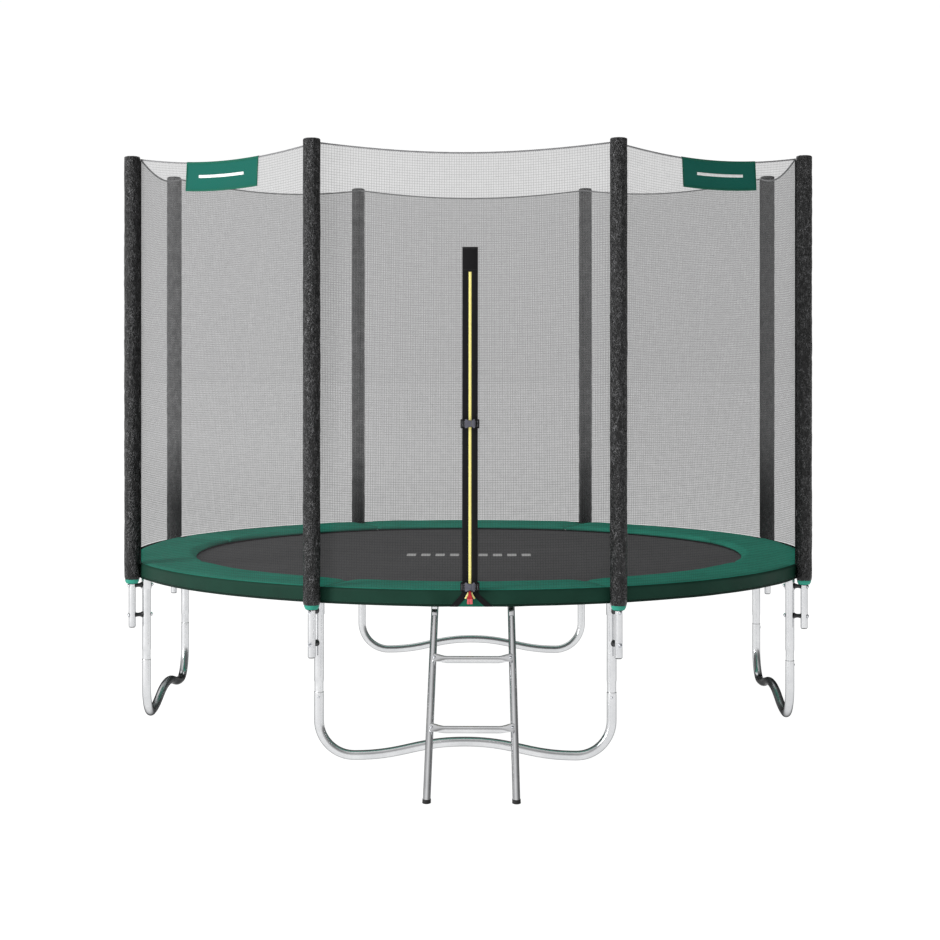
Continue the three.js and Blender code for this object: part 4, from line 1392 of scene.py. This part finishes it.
def make_slider():
    shape = Shape()
    low = SLIDER_BOTTOM
    shape.plate(SLIDER_OUTLINE, 0.0022, facing_out(0, SLIDER_BACK, low))
    smaller = [(x * 0.86, 0.0015 + y * 0.88) for x, y in SLIDER_OUTLINE]
    shape.plate(smaller, 0.0022, facing_out(0, SLIDER_BACK + 0.0022, low))
    bridge = [on_door(0, SLIDER_BACK + out, low + up) for out, up in (
        (0.0042, 0.021), (0.0066, 0.0195), (0.0078, 0.015),
        (0.0078, 0.009), (0.0066, 0.0045), (0.0042, 0.003),
    )]
    shape.ribbon(bridge, DOOR_ACROSS, 0.0052, 0.0013)
    bar = [on_door(x, PULL_BAR_OUT, PULL_TOP) for x in (-0.0135, 0.0, 0.0135)]
    shape.tube(bar, 0.0011, 12)
    for side in (-1, 1):
        ear = [on_door(side * x, out, PULL_TOP) for x, out in (
            (0.0085, SLIDER_BACK + 0.002), (0.0128, SLIDER_BACK + 0.004), (0.0132, PULL_BAR_OUT),
        )]
        shape.ribbon(ear, DOOR_UP, 0.0042, 0.0016)
    make("slider_body", shape, ZIP_METAL, "zip_slider", ["zip_slider"], bevel=0.0004)


def make_pull():
    """A folded strap through the slider's bar, whose two tails lie partly over each other, and whose ends
    are painted lighter pink as a painted highlight.
    """
    loop = Shape()
    path = []
    for share in shares(16):
        out, up = (PULL_LOOP_RADIUS * turn(math.tau * share) for turn in (math.sin, math.cos))
        path.append(on_door(0, PULL_OUT + out, PULL_TOP + up))
    loop.ribbon(path, DOOR_ACROSS, PULL_LOOP_WIDTH, 0.0009)
    neck = [on_door(0, PULL_OUT + 0.0005, PULL_TOP - drop) for drop in (0.0024, 0.008, 0.015, 0.022)]
    loop.ribbon(neck, DOOR_ACROSS, lambda share: PULL_LOOP_WIDTH + 0.005 * share, 0.0022)
    make("pull_loop", loop, PULL_RED, "zip_pull", ["zip_pull"])
    tails, ends = Shape(), Shape()
    for side in (-1, 1):
        layer = PULL_OUT + 0.0011 * side
        spread = [on_door(side * (0.0030 + 0.0024 * s), layer + 0.0010 * math.sin(5 * s),
                          PULL_TOP - 0.014 - 0.0150 * s) for s in shares(8)]
        tails.ribbon(spread, DOOR_ACROSS, lambda share: 0.0090 + 0.0020 * share, 0.0013)
        # The ends get the lighter pink: a painted highlight on the red strap.
        tip = [on_door(side * (0.0050 + 0.0010 * s), layer, PULL_TOP - 0.0280 - 0.0200 * s)
               for s in shares(5)]
        ends.ribbon(tip, DOOR_ACROSS, lambda share: 0.0110 - 0.0012 * share, 0.0017)
    make("pull_tails", tails, PULL_RED, "zip_pull")
    make("pull_ends_painted_highlight", ends, PULL_HIGHLIGHT_PINK, "zip_pull")


def make_buckle(name, height):
    """A side-release buckle: a socket on the left, and a plug whose prongs show at its waist."""
    place = facing_out(BUCKLE_SHIFT, BUCKLE_BACK, height)
    out = place.to_3x3() @ Vector((0, 0, 1))
    socket = Shape().plate(mirrored(SOCKET_HALF), BUCKLE_THICKNESS, place)
    for y in (-0.0055, 0.0055):
        rib = place @ Matrix.Translation((-0.0100, y, BUCKLE_RIB_BASE))
        socket.block(0.012, 0.0020, 0.0010, rib, 0.0004)
    make(f"{name}_socket_shell", socket, PLASTIC, "base",
         [f"{name}_buckle_socket"], bevel=0.0010)
    plug = Shape().plate(mirrored(PLUG_HALF), BUCKLE_THICKNESS, place)
    for side in (-1, 1):
        prong = [place @ Vector((x, side * y, 0.0058)) for x, y in PRONG]
        plug.ribbon(prong, out, 0.0050, 0.0030)
    for x in (0.0065, 0.0095):
        rib = place @ Matrix.Translation((x, 0, BUCKLE_RIB_BASE))
        plug.block(0.0014, 0.020, 0.0009, rib, 0.0003)
    make(f"{name}_plug_shell", plug, PLASTIC, f"{name}_buckle_plug",
         [f"{name}_buckle_plug"], bevel=0.0009)
    make(f"{name}_buckle_patch", buckle_patches(height), WEBBING, "base")
    sewn = [make_buckle_tab(name, height, side) for side in (-1, 1)]
    for piece in sewn[1]:
        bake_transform(piece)


def mirrored(half):
    """A closed outline from its lower half, drawn from left to right."""
    return half + [(x, -y) for x, y in reversed(half)]


def make_buckle_tab(name, height, side):
    """The webbing loop that ties one end of a buckle to its flap, with rows of pale thread."""
    path = [on_door(side * x, out, height) for x, out in TAB_ROUTE]
    half, body = ("socket", "base") if side < 0 else ("plug", None)
    tab = make(f"{name}_{half}_tab", Shape().ribbon(path, DOOR_UP, STRAP_WIDTH, 0.0015), WEBBING,
               body)
    rows = Shape()
    for x in (0.0225, 0.0305):
        row = door_line(side * x, 0.0243, height - 0.0125, height + 0.0125, 4)
        stitches(rows, row, 0.0042, 0.0016, 0.0008)
    sewing = make(f"{name}_{half}_stitches", rows, PALE_THREAD, body)
    return tab, sewing


def buckle_patches(height):
    """The webbing sewn on each flap behind a buckle, clear of the zip between them."""
    shape = Shape()
    for side in (-1, 1):
        patch = door_line(side * 0.0235, 0.0040, height - 0.018, height + 0.018, 4)
        shape.ribbon(patch, DOOR_ACROSS, 0.025, 0.0014)
    return shape


def make_straps():
    """Two straps that spread from the door's foot down over the skirt, and the flap between."""
    shape = Shape()
    for side in (-1, 1):
        rows = []
        for height, along, out in STRAP_ROUTE:
            front = [
                side * (along * STRAP_SPREAD[side] + STRAP_WIDTH * across)
                for across in (-0.5, -0.25, 0, 0.25, 0.5)
            ]
            surface = [skirt_front(x, out, height) for x in front]
            rows.append(surface + [p + Vector((0, 0.0014, 0)) for p in reversed(surface)])
        shape.grid(rows, ring=True, caps=True)
    make("door_strap_pair", shape, WEBBING, "base", ["door_straps"])
    rows = []
    for share in shares(10):
        half, height = 0.008 + 0.046 * share, 0.668 - 0.0440 * share
        surface = [
            skirt_front(half * across * STRAP_SPREAD[1 if across > 0 else -1], 0.0024, height)
            for across in (-1, -0.6, -0.2, 0.2, 0.6, 1)
        ]
        rows.append(surface + [p + Vector((0, 0.0009, 0)) for p in reversed(surface)])
    make("door_flap", Shape().grid(rows, ring=True, caps=True), FLAP_GREEN, "base")


def skirt_front(x, out, height):
    """A place in front of the skirt, under the door."""
    reach = math.sqrt(PAD_RADIUS ** 2 - (DOOR_X + x) ** 2)
    return Vector((DOOR_X + x, AXIS.y - reach - out, height))


def make_door():
    make_band()
    make_zip()
    make_slider()
    make_pull()
    for name, height in BUCKLE_HEIGHTS.items():
        make_buckle(name, height)
    make_straps()


# ---- Banners ----

BANNER_HALF = 0.24
BANNER_HEIGHT = 0.124
BANNER_RISE = 0.009
BANNER_OUT = 0.0052
BANNER_SHIFTS = {"left": -0.010, "right": 0.061}


def banner_point(panel_angle, along, down, out):
    """A place on a banner, which hangs outside the net and follows its sagging rope."""
    reach = NET_LINE * math.cos(STATION_STEP / 2)
    angle = panel_angle + math.atan2(along, reach)
    height = net_top(angle) + BANNER_RISE - down
    rise = min(1.0, (height - NET_BOTTOM) / (net_top(angle) - NET_BOTTOM))
    for _ in range(3):
        radius = (net_point(angle, rise) - AXIS).to_2d().length
        angle = panel_angle + math.asin(along / radius)
    outward = radius * math.cos(angle - panel_angle) + out
    place = AXIS + Matrix.Rotation(panel_angle, 3, "Z") @ Vector((outward, along, 0))
    return Vector((place.x, place.y, height))


def make_banner(side, panel_angle):
    name, shift = f"banner_{side}", BANNER_SHIFTS[side]

    def place(along, down, out):
        return banner_point(panel_angle, shift + along, down, out)

    rolled = [(0.0006, -0.0062), (0.0, -0.0040), (0.0004, -0.0016), (0.0022, -0.0004)]
    hanging = [(0.0022 + (BANNER_HEIGHT - 0.0022) * share, 0.0) for share in shares(14)[1:]]
    rows = []
    for down, out in rolled + hanging:
        front, back = [], []
        for across in shares(48):
            along = BANNER_HALF * (2 * across - 1)
            ripple = 0.0011 * noise.noise(Vector((along * 14, down * 18, panel_angle)))
            ripple *= min(1, down / 0.02)
            front.append(place(along, down, BANNER_OUT + out + ripple))
            back.append(place(along, down + 0.0008 * (out < 0), BANNER_OUT + out + ripple - 0.0009))
        rows.append(front + back[::-1])
    cloth = make(
        f"{name}_cloth", Shape().grid(rows, ring=True, caps=True, size=(0.96, 0.13)), BANNER,
        "base", [name],
    )
    hems, threads = Shape(), Shape()
    edge, low = BANNER_HALF - 0.004, BANNER_HEIGHT - 0.004
    corners = [(-edge, 0.006), (edge, 0.006), (edge, low), (-edge, low), (-edge, 0.006)]
    outward = outward_at(panel_angle)
    for (x0, d0), (x1, d1) in zip(corners, corners[1:]):
        path = [
            place(x0 + (x1 - x0) * s, d0 + (d1 - d0) * s, BANNER_OUT + 0.0010) for s in shares(24)
        ]
        tangent = (path[-1] - path[0]).normalized()
        hems.ribbon(path, outward.cross(tangent), 0.0075, 0.0007)
        stitches(threads, [p + outward * 0.0006 for p in path], 0.0042, 0.003, 0.00045)
    hem = make(f"{name}_hem", hems, HEM_TEAL, "base")
    sewing = make(f"{name}_thread", threads, GREEN_THREAD, "base")
    path = [place(0.150 * (2 * s - 1), 0.062, BANNER_OUT + 0.0012) for s in shares(30)]
    stripe = Shape().ribbon(path, Vector((0, 0, 1)), 0.012, 0.0006)
    print_piece = make(f"{name}_stripe", stripe, BANNER_PRINT, "base")


def make_banners():
    make_banner("left", -math.pi / 2 - STATION_STEP)
    make_banner("right", -math.pi / 2 + STATION_STEP)


# ---- Ladder ----

LADDER_X = middle_of("ladder_rung_upper").x
LADDER_Y = AXIS.y - 1.5004
STILE_RADIUS = 0.014
STILE_TOP = Vector((0.149, -0.027, -0.052))
STILE_END = Vector((0.161, -0.640, -0.628))
STILE_OVERRUN = 0.033
COPE_GAP = 0.0032
RUNG_HEIGHTS = {"upper": 0.439, "lower": 0.217}
FOOT_TOP = 0.0125
FOOT_PROFILE = [
    (0.0, 0.0138), (0.0004, 0.0150), (0.0016, 0.0158), (0.0050, 0.0156), (0.0058, 0.0152),
    (0.0066, 0.0156), (0.0110, 0.0156), (FOOT_TOP, 0.0150), (FOOT_TOP, 0.0136),
]
HOOK_RADIUS = 0.0212
HOOK_WIDTH = 0.020
HOOK_SWEEP = math.radians(205)
STILE_SIDES = 28
RUNG_RADIUS = 0.0132
RUNG_END_TALL, RUNG_END_DEEP = 0.0195, 0.0026
RUNG_END_OUT = 0.0175


def slide_to(point, direction, height):
    """The point moved along a direction until it is at a height."""
    return point + direction * ((height - point.z) / direction.z)


def coped(point, up, rail_centre):
    """The point moved up along the stile until it is just short of the rail across its top."""
    away = rail_centre - point
    away.x = 0
    along = away.dot(up)
    miss = away.length_squared - along ** 2
    room = math.sqrt(max(0, (TUBE_RADIUS + COPE_GAP) ** 2 - miss))
    return point + up * (along - room)


def stile_point(side, share):
    point = STILE_TOP.lerp(STILE_END, share)
    return Vector((LADDER_X + side * point.x, LADDER_Y + point.y, RAIL_HEIGHT + point.z))


def make_stile(side, name):
    """A stile, coped below the rail, with a flat hook welded on that goes over the rail."""
    top = stile_point(side, -STILE_OVERRUN)
    path = line(top, stile_point(side, 0.955), 66)
    path.append(stile_point(side, 0.96))
    shape = Shape().tube(path, STILE_RADIUS, STILE_SIDES)
    down = (path[-1] - path[0]).normalized()
    x = top.x
    rail_y = AXIS.y - math.sqrt(RAIL_RADIUS ** 2 - (x - AXIS.x) ** 2)
    centre = Vector((x, rail_y, RAIL_HEIGHT))
    head, foot = shape.points[:STILE_SIDES], shape.points[-STILE_SIDES:]
    shape.points[:STILE_SIDES] = [coped(point, -down, centre) for point in head]
    shape.points[-STILE_SIDES:] = [slide_to(point, down, FOOT_TOP - 0.003) for point in foot]
    arc = [
        centre + Vector((0, -HOOK_RADIUS * math.cos(turn), HOOK_RADIUS * math.sin(turn)))
        for turn in [HOOK_SWEEP * (1 - share) for share in shares(28)]
    ]
    neck = [Vector((x, rail_y - HOOK_RADIUS - 0.0004, RAIL_HEIGHT - drop)) for drop in (0.010, 0.020)]
    on_top = Vector((0, -0.0104, 0.0110))
    weld = [stile_point(side, share) + on_top for share in (-0.022, -0.010, 0.002, 0.014)]
    shape.ribbon(arc + neck + weld, Vector((1, 0, 0)), HOOK_WIDTH, 0.0024)
    make(f"ladder_tube_{name}", shape, ZINC, "ladder", [f"ladder_stile_{name}"])


def make_foot(side, name):
    """A short rubber cap, level on the ground and level at its rim."""
    start, end = stile_point(side, 0), stile_point(side, 1)
    along = (end - start).normalized()
    wide = Vector((1, 0, 0))
    wide = (wide - along * wide.dot(along)).normalized()
    high = along.cross(wide)
    rows = []
    for height, radius in FOOT_PROFILE:
        ring = [end + (wide * math.cos(t) + high * math.sin(t)) * radius for t in circle(36)]
        rows.append([slide_to(point, along, height) for point in ring])
    shape = Shape().grid(rows, ring=True, caps=True)
    make(f"foot_cap_{name}", shape, RUBBER, "ladder", [f"ladder_foot_{name}"])


def make_rung(name, height):
    """A tube whose ends are pressed flat and lapped over the front of the stiles."""
    share = (RAIL_HEIGHT + STILE_TOP.z - height) / (STILE_TOP.z - STILE_END.z)
    left, right = stile_point(-1, share), stile_point(1, share)
    down = (stile_point(1, 1) - stile_point(1, 0)).normalized()
    front = Vector((0, down.z, -down.y)).normalized()
    rows = []
    for at in shares(90):
        from_end = min(at, 1 - at) * (right - left).length
        flat = 1 - ease((from_end - 0.006) / 0.052)
        centre = left.lerp(right, at) + front * (0.005 + 0.0125 * flat)
        tall = RUNG_RADIUS + (RUNG_END_TALL - RUNG_RADIUS) * flat
        deep = RUNG_RADIUS + (RUNG_END_DEEP - RUNG_RADIUS) * flat
        rows.append([
            centre + down * tall * math.sin(t) + front * deep * math.cos(t) for t in circle(28)
        ])
    rows[0] = [point.lerp(left + front * RUNG_END_OUT, 0.25) for point in rows[0]]
    rows[-1] = [point.lerp(right + front * RUNG_END_OUT, 0.25) for point in rows[-1]]
    shape = Shape().grid(rows, ring=True, caps=True)
    make(f"rung_tube_{name}", shape, ZINC, "ladder", [f"ladder_rung_{name}"])
    heads = Shape()
    for end, inward in ((left, 1), (right, -1)):
        spot = end + front * 0.0195 + Vector((inward * 0.007, 0, 0))
        turn = Vector((0, 0, 1)).rotation_difference(front).to_matrix().to_4x4()
        bolt_head(heads, Matrix.Translation(spot) @ turn, 0.0048, 0.0034)
    make(f"rung_rivets_{name}", heads, SPRING_STEEL, "ladder")


def make_ladder():
    for side, name in ((-1, "left"), (1, "right")):
        make_stile(side, name)
        make_foot(side, name)
    for name, height in RUNG_HEIGHTS.items():
        make_rung(name, height)


# ---- Assembly ----

make_frame()
make_poles()
make_mat()
make_springs()
make_pad()
make_skirt()
make_net()
make_door()
make_banners()
make_ladder()
